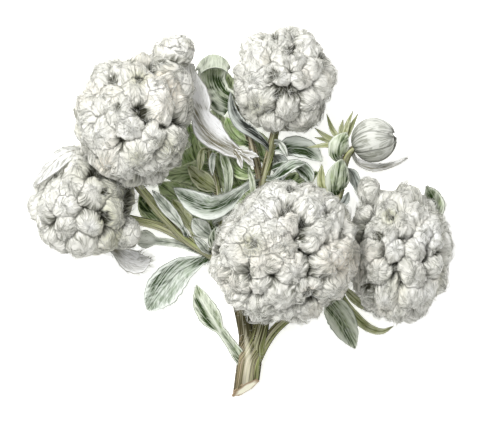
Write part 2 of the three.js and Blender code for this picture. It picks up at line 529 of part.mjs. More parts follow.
// Leaves of the short middle shoot and of the upper shoot, between the heads.
const MIDDLE_LEAVES = {
  silver_wavy_leaf: {
    spine: [
      [3.0, 5.0, 3.2], [1.4, 4.5, 5.6], [-0.6, 3.0, 7.4], [-2.6, 1.6, 8.3], [-5.0, 1.1, 8.9],
      [-7.8, 2.2, 9.2], [-10.6, 4.0, 8.6],
    ],
    half: 2.2, widest: 0.66, stalk: [0.05, 0.7], cup: 0.55, wave: [0.35, 1.5, 0.3], rows: 11,
    face: [0, -0.35, 0.94], color: SILVER_GREEN,
  },
  narrow_crescent_leaf: {
    spine: [[-3.4, -2.2, 3.0], [-4.2, -1.4, 5.6], [-2.8, -0.5, 6.4], [-0.8, 0.6, 6.4]],
    half: 0.6, widest: 0.55, stalk: [0.2, 0.35], cup: 0.4, columns: 2, rows: 7, color: PALE_FELT,
    face: [-0.3, 0.2, 0.93],
  },
  tall_light_leaf: {
    spine: [[-3.3, 1.2, 3.4], [-2.0, 3.6, 4.6], [-1.9, 6.4, 5.4], [-2.6, 9.0, 5.9], [-3.2, 11.0, 6.0]],
    half: 0.85, widest: 0.5, stalk: [0.1, 0.5], cup: 0.5, columns: 2, color: SAGE,
  },
  hanging_leaf_one: {
    spine: [[-5.0, 10.1, 5.0], [-6.0, 10.1, 6.3], [-6.3, 8.7, 7.2], [-6.5, 6.6, 7.1]],
    half: 0.65, widest: 0.55, stalk: [0.25, 0.35], cup: 0.4, columns: 2, rows: 6, color: YELLOW_GREEN,
  },
  hanging_leaf_two: {
    spine: [[-4.7, 8.4, 4.7], [-4.3, 9.4, 6.3], [-4.5, 8.2, 7.3], [-4.4, 6.0, 7.2]],
    half: 0.55, widest: 0.55, stalk: [0.25, 0.35], cup: 0.4, columns: 2, rows: 6, color: PALE_FELT,
  },
  broad_olive_leaf: {
    spine: [[-3.6, 3.6, 3.8], [-4.9, 4.4, 4.8], [-6.6, 5.8, 5.2], [-8.4, 7.6, 4.8]],
    half: 1.5, widest: 0.5, stalk: [0.1, 0.6], cup: 0.35, color: YELLOW_GREEN,
  },
  ragged_dark_leaf: {
    spine: [[-3.9, 5.2, 3.9], [-5.4, 6.4, 3.1], [-8.2, 7.0, 3.0], [-11.0, 6.8, 3.2]],
    half: 1.3, widest: 0.5, stalk: [0.1, 0.5], cup: 0.3, columns: 2, color: DARK_GREEN,
  },
  back_leaf_left: {
    spine: [[-3.4, 2.2, 3.5], [-4.7, 4.0, 1.3], [-7.0, 8.2, 0.65], [-8.3, 14.6, 0.65]],
    half: 3.0, widest: 0.5, stalk: [0.1, 0.6], cup: 0.2, rows: 6, columns: 2, color: DARK_GREEN,
  },
  back_leaf_upper: {
    spine: [[-4.7, 8.7, 4.6], [-4.6, 10.2, 2.7], [-4.2, 13.2, 1.9], [-3.6, 17.2, 1.5]],
    half: 2.6, widest: 0.5, stalk: [0.1, 0.6], cup: 0.2, rows: 6, columns: 2, color: DARK_GREEN,
  },
  back_leaf_low: {
    spine: [[-3.3, -0.6, 3.1], [-5.6, -0.1, 2.7], [-9.6, 2.3, 2.4], [-13.2, 4.9, 2.2]],
    half: 2.6, widest: 0.5, stalk: [0.1, 0.6], cup: 0.15, rows: 5, columns: 2, color: DARK_GREEN,
  },
  back_leaf_middle: {
    spine: [[3.2, 1.2, 2.3], [1.2, 2.4, 2.0], [-0.6, 5.2, 2.2], [-2.8, 9.4, 2.4]],
    half: 2.2, widest: 0.5, stalk: [0.1, 0.6], cup: 0.2, rows: 5, columns: 2, color: DARK_GREEN,
  },
  junction_leaf_back: {
    spine: [[-3.2, -3.6, 2.7], [-1.8, -3.0, 1.5], [-0.9, -1.6, 1.1], [-0.7, 0.2, 1.2]],
    half: 1.5, widest: 0.5, stalk: [0.1, 0.6], cup: 0.2, rows: 5, columns: 2, color: SAGE,
  },
  dark_middle_leaf: {
    spine: [[2.8, 6.6, 3.3], [1.4, 6.5, 4.0], [-0.2, 7.4, 4.0], [-1.4, 9.8, 3.8]],
    half: 1.8, widest: 0.5, stalk: [0.15, 0.5], cup: 0.4, columns: 2, color: DARK_GREEN, face: [0, 0.2, 1],
  },
  pale_strap_leaf: {
    spine: [[3.2, 1.0, 2.4], [2.7, 1.8, 5.0], [2.2, 3.6, 7.2], [1.9, 5.6, 7.6], [1.3, 7.4, 7.3]],
    half: 0.6, widest: 0.5, stalk: [0.2, 0.5], cup: 0.4, columns: 2, color: SAGE, face: [-0.5, -0.3, 0.8],
  },
  white_folded_bract: {
    spine: [
      [2.3, 9.5, 3.9], [0.6, 9.3, 6.4], [-2.3, 10.7, 8.0], [-4.9, 13.2, 8.9], [-6.7, 16.6, 9.3],
      [-7.5, 20.4, 9.5], [-8.1, 23.8, 10.6],
    ],
    half: 2.4, widest: 0.6, stalk: [0.05, 0.8], cup: 0.75, rows: 11, blunt: 0.8, color: WOOL_WHITE,
  },
  green_upper_leaf: {
    spine: [[1.9, 10.8, 4.1], [0.2, 11.6, 5.0], [-1.3, 13.2, 5.5], [-2.2, 15.4, 5.4]],
    half: 1.5, widest: 0.5, stalk: [0.15, 0.5], cup: 0.4, rows: 7, columns: 2, color: DARK_GREEN,
  },
  curled_top_leaf: {
    spine: [
      [-1.4, 17.2, 5.1], [-3.4, 18.6, 5.1], [-4.5, 21.0, 5.1], [-4.4, 23.4, 5.6], [-4.3, 25.2, 7.1],
      [-4.2, 24.8, 8.8], [-4.1, 23.2, 9.4],
    ],
    half: 2.8, widest: 0.66, stalk: [0.02, 1.3], cup: 0.35, wave: [0.3, 2, 0], rows: 11, blunt: 1.9,
    face: [0, 0.25, 1], color: SAGE,
  },
  top_back_leaf: {
    spine: [[-0.6, 16.6, 4.7], [-2.2, 18.2, 2.9], [-3.6, 21.0, 2.6], [-4.1, 24.6, 2.8]],
    half: 2.7, widest: 0.5, stalk: [0.1, 0.6], cup: 0.2, rows: 5, columns: 2, color: DARK_GREEN,
  },
  back_leaf_stems: {
    spine: [[4.3, 7.8, 2.9], [3.8, 9.0, 2.0], [3.1, 11.0, 1.8], [2.4, 13.4, 2.0]],
    half: 2.0, widest: 0.5, stalk: [0.1, 0.6], cup: 0.2, rows: 5, columns: 2, color: DARK_GREEN,
  },
  long_head_bract: {
    spine: [
      [4.9, 9.9, 4.2], [3.9, 11.2, 6.0], [1.9, 12.9, 7.0], [-0.2, 14.4, 7.3], [-1.3, 16.6, 7.2],
      [-1.5, 19.4, 7.0],
    ],
    half: 0.75, widest: 0.5, stalk: [0.1, 0.5], cup: 0.3, columns: 2, rows: 10, color: GREY_FELT,
    face: [0.35, 0.35, 0.87],
  },
};

// Leaves on the right: below the top head, on the bud's stalk, and round the right-hand head.
const RIGHT_LEAVES = {
  short_head_bract: {
    spine: [[5.2, 11.4, 4.6], [6.3, 11.3, 6.6], [7.0, 10.3, 7.2], [7.6, 9.0, 7.0]],
    half: 0.5, widest: 0.5, stalk: [0.2, 0.4], cup: 0.4, columns: 2, rows: 6, color: PALE_FELT,
  },
  shaded_bract: {
    spine: [[4.6, 9.0, 3.9], [5.8, 8.8, 2.6], [6.6, 7.2, 2.2], [6.4, 5.0, 2.2]],
    half: 1.0, widest: 0.5, stalk: [0.2, 0.5], cup: 0.4, columns: 2, rows: 6, color: GREY_FELT,
  },
  back_leaf_right: {
    spine: [[3.9, 4.4, 2.8], [6.2, 4.3, 1.0], [9.2, 4.9, 0.7], [12.6, 6.6, 0.9]],
    half: 1.9, widest: 0.5, stalk: [0.1, 0.6], cup: 0.1, rows: 5, columns: 2, color: DARK_GREEN,
  },
  rolled_right_leaf: {
    spine: [
      [5.0, 10.4, 4.4], [6.8, 10.5, 4.9], [8.6, 10.7, 5.0], [10.6, 10.3, 4.7], [12.1, 9.3, 4.2],
      [13.2, 8.3, 3.7],
    ],
    half: 1.8, widest: 0.4, stalk: [0.1, 0.5], cup: 0.7, rows: 8, color: DARK_GREEN,
  },
  folded_right_leaf: {
    spine: [[4.0, 5.6, 3.2], [5.2, 5.6, 4.9], [6.8, 6.7, 6.0], [8.6, 7.8, 6.2], [10.5, 8.0, 5.7]],
    half: 1.0, widest: 0.55, stalk: [0.15, 0.45], cup: 0.8, color: SILVER_GREEN,
  },
  drooping_blue_leaf: {
    spine: [[4.4, 7.0, 3.4], [7.0, 7.9, 3.7], [9.4, 7.6, 3.9], [10.8, 6.3, 3.7], [11.4, 4.7, 3.2]],
    half: 1.2, widest: 0.6, stalk: [0.2, 0.45], cup: 0.4, color: SILVER_GREEN,
  },
  slim_green_leaf: {
    spine: [[15.0, 1.6, 3.7], [13.8, 3.0, 3.6], [13.1, 5.0, 3.7], [13.1, 7.8, 3.9]],
    half: 0.8, widest: 0.5, stalk: [0.2, 0.4], cup: 0.4, columns: 2, rows: 6, color: YELLOW_GREEN,
  },
  bud_scale_lower: {
    spine: [[15.4, 2.4, 4.2], [15.3, 3.7, 6.0], [15.7, 5.9, 7.4], [16.3, 8.7, 8.6]],
    half: 2.1, widest: 0.5, stalk: [0.1, 0.8], cup: -0.75, color: SAGE,
  },
  bud_scale_upper: {
    spine: [[16.8, 7.9, 6.2], [15.7, 9.0, 7.0], [15.9, 10.9, 8.1], [17.1, 12.9, 8.6]],
    half: 1.75, widest: 0.5, stalk: [0.15, 0.6], cup: -0.6, color: SAGE,
  },
  bud_strap_leaf: {
    spine: [[16.6, 6.8, 5.8], [17.7, 6.7, 5.4], [18.5, 5.2, 4.9], [18.9, 3.2, 4.6]],
    half: 0.9, widest: 0.5, stalk: [0.2, 0.4], cup: 0.3, columns: 2, rows: 6, color: GREY_FELT,
  },
  bud_stub_leaf: {
    spine: [[15.0, 1.5, 3.6], [16.3, 1.4, 4.1], [17.0, 2.2, 4.4], [17.4, 3.4, 4.3]],
    half: 0.65, widest: 0.5, stalk: [0.2, 0.4], cup: 0.3, columns: 2, rows: 6, color: GREY_FELT,
  },
  bud_curled_bract: {
    spine: [[17.9, 9.7, 6.5], [18.7, 7.8, 5.2], [21.3, 6.7, 4.7], [24.5, 7.1, 5.8], [26.8, 8.6, 7.5]],
    half: 1.05, widest: 0.4, stalk: [0.12, 0.5], cup: 0.6, color: PALE_FELT, face: [0.05, 0.75, 0.65],
  },
  right_head_leaf: {
    spine: [[30.0, -3.6, 4.8], [31.1, -1.2, 3.9], [31.3, 0.8, 3.7], [30.8, 2.6, 4.2], [29.9, 4.3, 5.2]],
    half: 1.4, widest: 0.55, stalk: [0.1, 0.8], cup: 0.5, color: SAGE, seat: "woolly_head_right",
  },
  lower_right_leaf: {
    spine: [
      [12.6, -13.2, 1.8], [14.3, -14.1, 2.7], [15.8, -16.2, 3.1], [17.2, -18.9, 2.8], [18.5, -21.8, 1.7],
    ],
    half: 2.3, widest: 0.5, stalk: [0.12, 0.8], cup: 0.45, color: SAGE,
  },
  crescent_bract: {
    spine: [
      [15.3, -11.4, 2.3], [16.7, -13.9, 1.9], [18.6, -16.6, 1.9], [20.6, -18.4, 2.0], [22.8, -19.0, 2.2],
      [24.6, -18.2, 2.5],
    ],
    half: 0.75, widest: 0.4, stalk: [0.15, 0.5], cup: 0.4, columns: 2, color: YELLOW_GREEN,
  },
  olive_bract: {
    spine: [[15.9, -11.0, 2.6], [17.4, -12.7, 3.8], [19.2, -14.4, 4.0], [21.4, -15.9, 3.7]],
    half: 0.8, widest: 0.5, stalk: [0.15, 0.5], cup: 0.3, columns: 2, rows: 6, color: YELLOW_GREEN,
  },
};

// The slender sepals below the bud spread from one short foot on its stalk, and grow as one piece.
const SEPAL_FOOT = {
  points: [[17.2, 9.5, 6.2], [16.8, 10.4, 5.4], [16.4, 11.3, 5.2]],
  radii: [0.5, 0.5, 0.4],
};
const SEPAL_FORK = [16.6, 11.0, 5.2];
const SEPALS = [
  { bend: [14.9, 13.2, 5.6], tip: [13.9, 15.8, 6.6] },
  { bend: [13.9, 12.2, 5.9], tip: [12.0, 13.6, 6.8] },
  { bend: [14.4, 11.6, 5.3], tip: [12.0, 12.1, 6.0] },
  { bend: [14.0, 10.9, 6.1], tip: [10.8, 10.5, 7.0] },
  { bend: [16.2, 13.2, 5.4], tip: [16.5, 14.9, 6.0] },
  { bend: [17.0, 13.6, 5.7], tip: [18.1, 16.3, 6.4] },
  { bend: [17.6, 13.4, 4.9], tip: [18.9, 15.9, 5.2] },
];
const SEPAL_HALF = 0.5;

function sepalsSolid() {
  const blades = SEPALS.map(({ bend, tip }) =>
    bladeSolid({
      spine: [SEPAL_FORK, bend, tip],
      half: SEPAL_HALF, widest: 0.35, stalk: [0.1, 0.35], cup: 0.3, columns: 2, rows: 4, blunt: 0.14,
    }),
  );
  return blades.reduce((all, blade) => all.add(blade), stalkSolid(SEPAL_FOOT, 0));
}

// The bud: a ball of petals that overlap like tiles. Each rises to a free edge by `step`, and the
// edges lean round the bud by `slant` petals from its foot to its tip.
const BUD = {
  centre: [21.4, 11.7, 7.4],
  half: 3.55,
  axis: [0.96, 0.18, 0.22],
  petals: 6,
  step: 0.6,
  slant: 1.2,
};
const BUD_RINGS = 9;
const BUD_SIDES = 24;

function budSolid() {
  const { centre, half, axis, petals, step, slant } = BUD;
  const upright = new THREE.Vector3(0, 0, 1);
  const turn = new THREE.Quaternion().setFromUnitVectors(upright, vector(axis).normalize());
  const points = [new THREE.Vector3(0, 0, -half)];
  for (let i = 1; i < BUD_RINGS; i++) {
    const lean = Math.PI * (1 - i / BUD_RINGS);
    for (let j = 0; j < BUD_SIDES; j++) {
      const around = j / BUD_SIDES;
      const petal = (around * petals + slant * (i / BUD_RINGS)) % 1;
      const radius = half + step * (petal - 0.5) * Math.sin(lean);
      const angle = 2 * Math.PI * around;
      const across = radius * Math.sin(lean);
      const height = radius * Math.cos(lean);
      points.push(new THREE.Vector3(across * Math.cos(angle), across * Math.sin(angle), height));
    }
  }
  points.push(new THREE.Vector3(0, 0, half));
  const top = points.length - 1;
  const triangles = [];
  for (let j = 0; j < BUD_SIDES; j++) {
    const next = (j + 1) % BUD_SIDES;
    triangles.push([0, 1 + next, 1 + j]);
    for (let i = 0; i < BUD_RINGS - 2; i++) {
      const [a, b] = [1 + i * BUD_SIDES + j, 1 + i * BUD_SIDES + next];
      triangles.push([a, b, b + BUD_SIDES], [a, b + BUD_SIDES, a + BUD_SIDES]);
    }
    triangles.push([top, top - BUD_SIDES + j, top - BUD_SIDES + next]);
  }
  points.forEach((point) => point.applyQuaternion(turn).add(vector(centre)));
  return solidOf(geometryOf(points, triangles));
}

// The sprig: each head and the bud has a hole for its stalk, and each leaf's foot is cut to the
// round of what it grows from, all with the same gap.
const sprig = new THREE.Group();
sprig.name = "woolly_sprig";
const stem = stemSolid(0);
const roomForStem = stemSolid(GAP);
sprig.add(meshOf("branching_stem", stem, STEM_OLIVE, [0, 0, 0]));

const heads = new THREE.Group();
for (const [name, head] of Object.entries(HEADS)) {
  heads.add(meshOf(name, headSolid(head, 0).subtract(roomForStem), WOOL_WHITE, head.centre));
}
sprig.add(heads);

const leaves = new THREE.Group();
for (const [name, leaf] of Object.entries({ ...LEFT_LEAVES, ...MIDDLE_LEAVES, ...RIGHT_LEAVES })) {
  let blade = bladeSolid(leaf).subtract(roomForStem);
  if (leaf.seat) blade = blade.subtract(headSolid(HEADS[leaf.seat], WOOL_GAP));
  leaves.add(meshOf(name, largestBody(blade), leaf.color, leaf.spine[0]));
}
const sepals = largestBody(sepalsSolid().subtract(roomForStem));
leaves.add(meshOf("bud_sepals", sepals, YELLOW_GREEN, SEPAL_FORK));
sprig.add(leaves);
sprig.add(meshOf("flower_bud", budSolid().subtract(roomForStem), BUD_WHITE, BUD.centre));

export default sprig;
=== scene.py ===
# A cut sprig of woolly cudweed on a pale table: ribbed stems, five heads of woolly capitula, one
# round bud, and felted leaves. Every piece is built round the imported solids. Sizes are in
# millimetres, and each mesh is made in metres.
import itertools
import math

import bpy
import numpy as np
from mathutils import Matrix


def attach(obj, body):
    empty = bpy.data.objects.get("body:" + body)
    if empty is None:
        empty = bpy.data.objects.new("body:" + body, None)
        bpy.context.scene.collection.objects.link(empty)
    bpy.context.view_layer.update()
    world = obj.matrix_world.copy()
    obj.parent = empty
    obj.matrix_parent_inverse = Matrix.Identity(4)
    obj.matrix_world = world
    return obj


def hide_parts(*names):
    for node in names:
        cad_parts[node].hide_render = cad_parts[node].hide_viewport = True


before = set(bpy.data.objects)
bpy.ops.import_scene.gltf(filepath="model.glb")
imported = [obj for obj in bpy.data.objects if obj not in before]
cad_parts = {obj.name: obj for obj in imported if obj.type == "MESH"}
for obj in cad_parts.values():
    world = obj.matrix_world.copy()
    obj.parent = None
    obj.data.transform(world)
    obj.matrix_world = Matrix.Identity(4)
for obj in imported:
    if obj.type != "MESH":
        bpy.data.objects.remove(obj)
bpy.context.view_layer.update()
MM = 0.001

# The camera looks straight down on the table with a long lens, so that the view is nearly
# parallel. The picture is 480 by 426 pixels, and one pixel is 0.16 mm at the height in focus.
PICTURE_WIDTH = 480
PIXEL = 0.16 * MM
FOCUS_HEIGHT = 8 * MM
CAMERA_REACH = 1.6
FILM_WIDTH = 36  # in the lens's own millimetres

camera_data = bpy.data.cameras.new("camera")
camera_data.sensor_width = FILM_WIDTH
camera_data.lens = FILM_WIDTH * CAMERA_REACH / (PICTURE_WIDTH * PIXEL)
camera = bpy.data.objects.new("camera", camera_data)
camera.location = (0, 0, FOCUS_HEIGHT + CAMERA_REACH)
bpy.context.scene.collection.objects.link(camera)
bpy.context.scene.camera = camera
bpy.context.scene.view_settings.view_transform = "Standard"

# Studio light: a wide lamp at the upper left, where the sprig is lit from, and a pale room all
# round that keeps the shadows soft.
LAMP_PLACE = (-0.19, 0.19, 0.47)
LAMP_SIZE = 0.24
LAMP_WATTS = 2.9
ROOM_LIGHT = 0.61

lamp_data = bpy.data.lights.new("key_lamp", "AREA")
lamp_data.shape = "DISK"
lamp_data.size = LAMP_SIZE
lamp_data.energy = LAMP_WATTS
lamp = bpy.data.objects.new("key_lamp", lamp_data)
lamp.location = LAMP_PLACE
lamp.rotation_euler = (-lamp.location).to_track_quat("-Z", "Y").to_euler()
bpy.context.scene.collection.objects.link(lamp)
room = bpy.data.worlds.new("room")
room.use_nodes = True
room.node_tree.nodes["Background"].inputs["Color"].default_value = (1, 1, 1, 1)
room.node_tree.nodes["Background"].inputs["Strength"].default_value = ROOM_LIGHT
bpy.context.scene.world = room

# The table: a smooth off-white board that the sprig lies on, lit a little from below so that the
# sprig's shadow on it stays faint.
TABLE_SIDE = 1.6
TABLE_DROP = 0.02 * MM  # keeps the board clear of the wool that rests on it
TABLE_WHITE = (252, 252, 251)
TABLE_FLECK = (249, 249, 247)
TABLE_GLOW = 0.58


def paint(red, green, blue):
    """A colour as seen, 0 to 255, as the linear colour that a shader takes."""
    seen = np.array((red, green, blue)) / 255
    linear = np.where(seen <= 0.04045, seen / 12.92, ((seen + 0.055) / 1.055) ** 2.4)
    return (*linear, 1)


def add(tree, kind, inputs=(), **settings):
    """A new shader node, with its settings, and its inputs each linked or set."""
    made = tree.nodes.new("ShaderNode" + kind)
    for name, value in settings.items():
        setattr(made, name, value)
    for key, value in dict(inputs).items():
        if isinstance(value, bpy.types.NodeSocket):
            tree.links.new(value, made.inputs[key])
        else:
            made.inputs[key].default_value = value
    return made


def figure(tree, operation, first, second=0.0):
    """One sum on two values."""
    return add(tree, "Math", {0: first, 1: second}, operation=operation).outputs[0]


def spread(tree, value, low, high, to_low=0.0, to_high=1.0):
    """A value eased from one range to another, and held at its ends."""
    ends = {"Value": value, 1: low, 2: high, 3: to_low, 4: to_high}
    return add(tree, "MapRange", ends, interpolation_type="SMOOTHSTEP").outputs[0]


def blend(tree, share, first, second):
    """A mix of two colours."""
    return add(tree, "Mix", {0: share, 6: first, 7: second}, data_type="RGBA").outputs[2]


def new_material(name, roughness):
    """A material, its node tree and its Principled shader."""
    made = bpy.data.materials.new(name)
    made.use_nodes = True
    shader = made.node_tree.nodes["Principled BSDF"]
    shader.inputs["Roughness"].default_value = roughness
    shader.inputs["Specular IOR Level"].default_value = 0.15
    return made, made.node_tree, shader


board_paint, tree, shader = new_material("board_paint", 0.9)
fleck = add(tree, "TexNoise", {"Scale": 900.0, "Detail": 2.0}).outputs[0]
tone = blend(tree, fleck, paint(*TABLE_WHITE), paint(*TABLE_FLECK))
tree.links.new(tone, shader.inputs["Base Color"])
shader.inputs["Emission Color"].default_value = (1, 1, 1, 1)
shader.inputs["Emission Strength"].default_value = TABLE_GLOW
bpy.ops.mesh.primitive_plane_add(size=TABLE_SIDE, location=(0, 0, -TABLE_DROP))
table_top = bpy.context.object
table_top.name = "table_top"
table_top.data.materials.append(board_paint)

# The stems: one branching piece of fresh plant, ribbed along its length, brown and olive, with a
# thin grey wool. Each stalk is a ribbed tube along its own line, and the stalks grow into each
# other where they fork.
STEM_SIDES = 24
STEM_STEP = 0.5
RIBS = 7
RIB_HEIGHT = 0.07  # in a stalk's radius
RIB_TWIST = 0.06  # radians to a millimetre
KNOT_HEIGHT = 0.03
STALKS = {
    "main": {
        "points": [
            (0.1, -31.5, 2.3), (1.0, -26.8, 2.2), (1.5, -23.6, 2.05), (1.0, -19.6, 1.7),
            (0.2, -15.6, 1.65), (-1.2, -11.2, 1.9), (-3.0, -8.0, 2.4), (-4.6, -6.4, 2.9),
        ],
        "radii": (2.15, 2.1, 1.95, 1.25, 1.15, 1.1, 1.05, 0.95),
        "brown": 0.55,
    },
    "green": {
        "points": [
            (1.8, -24.6, 2.0), (2.6, -21.5, 1.75), (3.3, -17.5, 1.6), (3.6, -11.0, 1.6),
            (3.4, -4.0, 1.8), (3.3, 1.5, 2.4), (3.9, 5.5, 3.1), (4.8, 9.6, 4.2), (5.7, 13.6, 5.4),
            (6.3, 17.0, 6.6),
        ],
        "radii": (1.3, 1.5, 1.4, 1.1, 1.0, 0.95, 0.85, 0.75, 0.7, 0.65),
        "brown": 0.1,
    },
    "upper_left": {
        "points": [
            (-3.6, -7.4, 2.5), (-5.6, -6.2, 3.2), (-8.5, -4.3, 4.5), (-11.7, -1.1, 6.4),
            (-14.4, 2.1, 8.2), (-16.5, 4.9, 9.7), (-17.2, 8.2, 11.2), (-17.3, 10.6, 12.4),
        ],
        "radii": (0.8, 0.8, 0.75, 0.75, 0.75, 0.75, 0.7, 0.65),
        "brown": -0.2,
    },
    "left": {
        "points": [
            (-3.8, -7.2, 2.6), (-6.2, -5.6, 2.9), (-9.9, -3.6, 3.5), (-13.0, -2.1, 4.2),
            (-16.2, -1.3, 5.0), (-19.5, -0.5, 6.0), (-22.0, 0.4, 6.8),
        ],
        "radii": (0.8, 0.8, 0.75, 0.75, 0.7, 0.7, 0.6),
        "brown": 0.0,
    },
    "front": {
        "points": [
            (3.6, -11.4, 1.6), (4.9, -8.9, 2.4), (6.2, -7.0, 4.2), (6.9, -6.3, 6.8), (7.0, -6.1, 9.2),
        ],
        "radii": (0.9, 0.95, 0.95, 0.9, 0.8),
        "brown": 0.2,
    },
    "right": {
        "points": [
            (2.4, -24.2, 1.9), (3.9, -21.2, 1.5), (5.6, -18.8, 1.3), (8.2, -16.4, 1.3),
            (11.6, -13.9, 1.5), (15.0, -11.6, 2.2), (18.2, -9.6, 3.6), (21.4, -8.2, 5.4),
        ],
        "radii": (0.9, 0.8, 0.8, 0.8, 0.8, 0.8, 0.75, 0.65),
        "brown": 0.3,
    },
    "bud": {
        "points": [
            (3.4, -5.5, 1.8), (6.5, -4.0, 1.8), (10.5, -1.8, 2.1), (13.6, 0.0, 2.9),
            (15.4, 2.0, 3.9), (16.2, 4.6, 5.0), (16.6, 7.4, 6.0), (17.6, 9.8, 6.8), (19.8, 11.2, 7.2),
        ],
        "radii": (0.8, 0.75, 0.75, 0.75, 0.75, 0.7, 0.65, 0.6, 0.5),
        "brown": 0.2,
    },
    "middle_shoot": {
        "points": [
            (-2.8, -8.2, 2.3), (-3.2, -4.6, 2.7), (-3.3, -1.4, 3.1), (-3.4, 1.8, 3.5),
            (-3.8, 4.8, 3.9), (-4.6, 7.8, 4.5), (-5.0, 10.2, 5.0),
        ],
        "radii": (0.75, 0.7, 0.65, 0.6, 0.55, 0.5, 0.4),
        "brown": 0.15,
    },
    "upper_shoot": {
        "points": [
            (3.4, 2.4, 2.5), (3.0, 6.4, 3.3), (2.2, 9.8, 3.9), (1.1, 13.2, 4.5),
            (-0.4, 16.2, 5.0), (-1.6, 18.4, 5.3),
        ],
        "radii": (0.7, 0.65, 0.65, 0.6, 0.5, 0.4),
        "brown": 0.8,
    },
}
CUT_POINT = np.array((0.6, -28.3, 2.25))
CUT_FACING = np.array((0.485, -0.818, 0.309))
CUT_SLANT = 2.6  # how much of the main stalk the slanting cut takes off one side, in millimetres
STEM_SHADE = [(1.2, -17.4, 3.2, 0.75), (0.2, 12.0, 3.0, 0.1)]  # where a head keeps the light off
STEM_BROWN = (160, 139, 112)
STEM_PALE = (228, 223, 200)
STEM_OLIVE = (168, 178, 112)
STEM_DARK = (62, 58, 36)
CUT_CREAM = (240, 238, 216)


def unit(vectors):
    """Vectors at length one."""
    return vectors / np.linalg.norm(vectors, axis=-1, keepdims=True)


def near(points, x, y, size):
    """How near points are to a spot, seen from above: 1 on it, and falling to 0 round it."""
    return np.exp(-np.sum((points[..., :2] - (x, y)) ** 2, -1) / size**2)


def chance(cells, seed):
    """A repeatable draw from 0 to 1 for each whole-number cell."""
    value = np.sin(cells @ (12.9898, 78.233, 37.719) + seed * 4.1414) * 43758.5453
    return value - np.floor(value)


def grain(places, seed=0):
    """Smooth noise from 0 to 1, with lumps one unit across."""
    cell = np.floor(places)
    part = places - cell
    part = part * part * (3 - 2 * part)
    total = np.zeros(len(places))
    for corner in itertools.product((0, 1), repeat=3):
        weight = np.prod(np.where(corner, part, 1 - part), axis=1)
        total += weight * chance(cell + corner, seed)
    return total


def spine_through(points, shares):
    """Points at shares of a centripetal Catmull-Rom line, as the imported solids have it."""
    points = np.array(points, float)
    ends = 2 * points[0] - points[1], 2 * points[-1] - points[-2]
    points = np.vstack((ends[0], points, ends[1]))
    at = np.clip(shares, 0, 1) * (len(points) - 3)
    first = np.minimum(at.astype(int), len(points) - 4)
    part = (at - first)[:, None]
    a, b, c, d = (points[first + k] for k in range(4))
    before, middle, after = (
        np.linalg.norm(end - start, axis=1)[:, None] ** 0.5 for start, end in ((a, b), (b, c), (c, d))
    )
    leave = ((b - a) / before - (c - a) / (before + middle) + (c - b) / middle) * middle
    reach = ((c - b) / middle - (d - b) / (middle + after) + (d - c) / after) * middle
    cubic = (2 * b - 2 * c + leave + reach) * part**3
    return cubic + (3 * c - 3 * b - 2 * leave - reach) * part**2 + leave * part + b


def along_line(points):
    """The unit tangents of a line of points, and the distance along it."""
    steps = np.linalg.norm(np.diff(points, axis=0), axis=1)
    return unit(np.gradient(points, axis=0)), np.concatenate(([0], np.cumsum(steps)))


def carried_frames(tangents):
    """Two sides at right angles to each tangent, carried along the line without a twist."""
    side = np.cross(tangents[0], (0, 0, 1))
    sides = []
    for tangent in tangents:
        side = unit(side - tangent * (side @ tangent))
        sides.append(side)
    sides = np.array(sides)
    return sides, np.cross(tangents, sides)


def grid_faces(rows, columns, start=0, closed=False):
    """Quads between rows of points; a closed grid joins its last column to its first."""
    row = np.arange(rows - 1)[:, None] * columns
    column = np.arange(columns if closed else columns - 1)
    after = (column + 1) % columns
    a, b = row + column, row + after
    return start + np.stack((a, b, b + columns, a + columns), axis=-1).reshape(-1, 4)


def mesh_piece(name, points, face_sets, material, values=()):
    """A smooth mesh object from points in millimetres, with values stored on its points."""
    mesh = bpy.data.meshes.new(name)
    corners = np.concatenate([np.ravel(faces) for faces in face_sets])
    sizes = np.concatenate([np.full(len(faces), np.shape(faces)[1]) for faces in face_sets])
    starts = np.concatenate(([0], np.cumsum(sizes)[:-1]))
    mesh.vertices.add(len(points))
    mesh.vertices.foreach_set("co", np.ravel(np.array(points) * MM).astype("f"))
    mesh.loops.add(len(corners))
    mesh.loops.foreach_set("vertex_index", corners.astype("i"))
    mesh.polygons.add(len(sizes))
    mesh.polygons.foreach_set("loop_start", starts.astype("i"))
    mesh.polygons.foreach_set("use_smooth", np.ones(len(sizes), bool))
    for key, data in dict(values).items():
        data = np.asarray(data, "f")
        kind, field = ("FLOAT", "value") if data.ndim == 1 else ("FLOAT_VECTOR", "vector")
        mesh.attributes.new(key, kind, "POINT").data.foreach_set(field, data.ravel())
    mesh.update(calc_edges=True)
    mesh.validate()
    mesh.materials.append(material)
    made = bpy.data.objects.new(name, mesh)
    bpy.context.scene.collection.objects.link(made)
    return made


def finished(piece, slot, *nodes):
    """A piece takes its place in the frame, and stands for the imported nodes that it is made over."""
    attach(piece, "root")
    if nodes:
        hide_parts(*nodes)


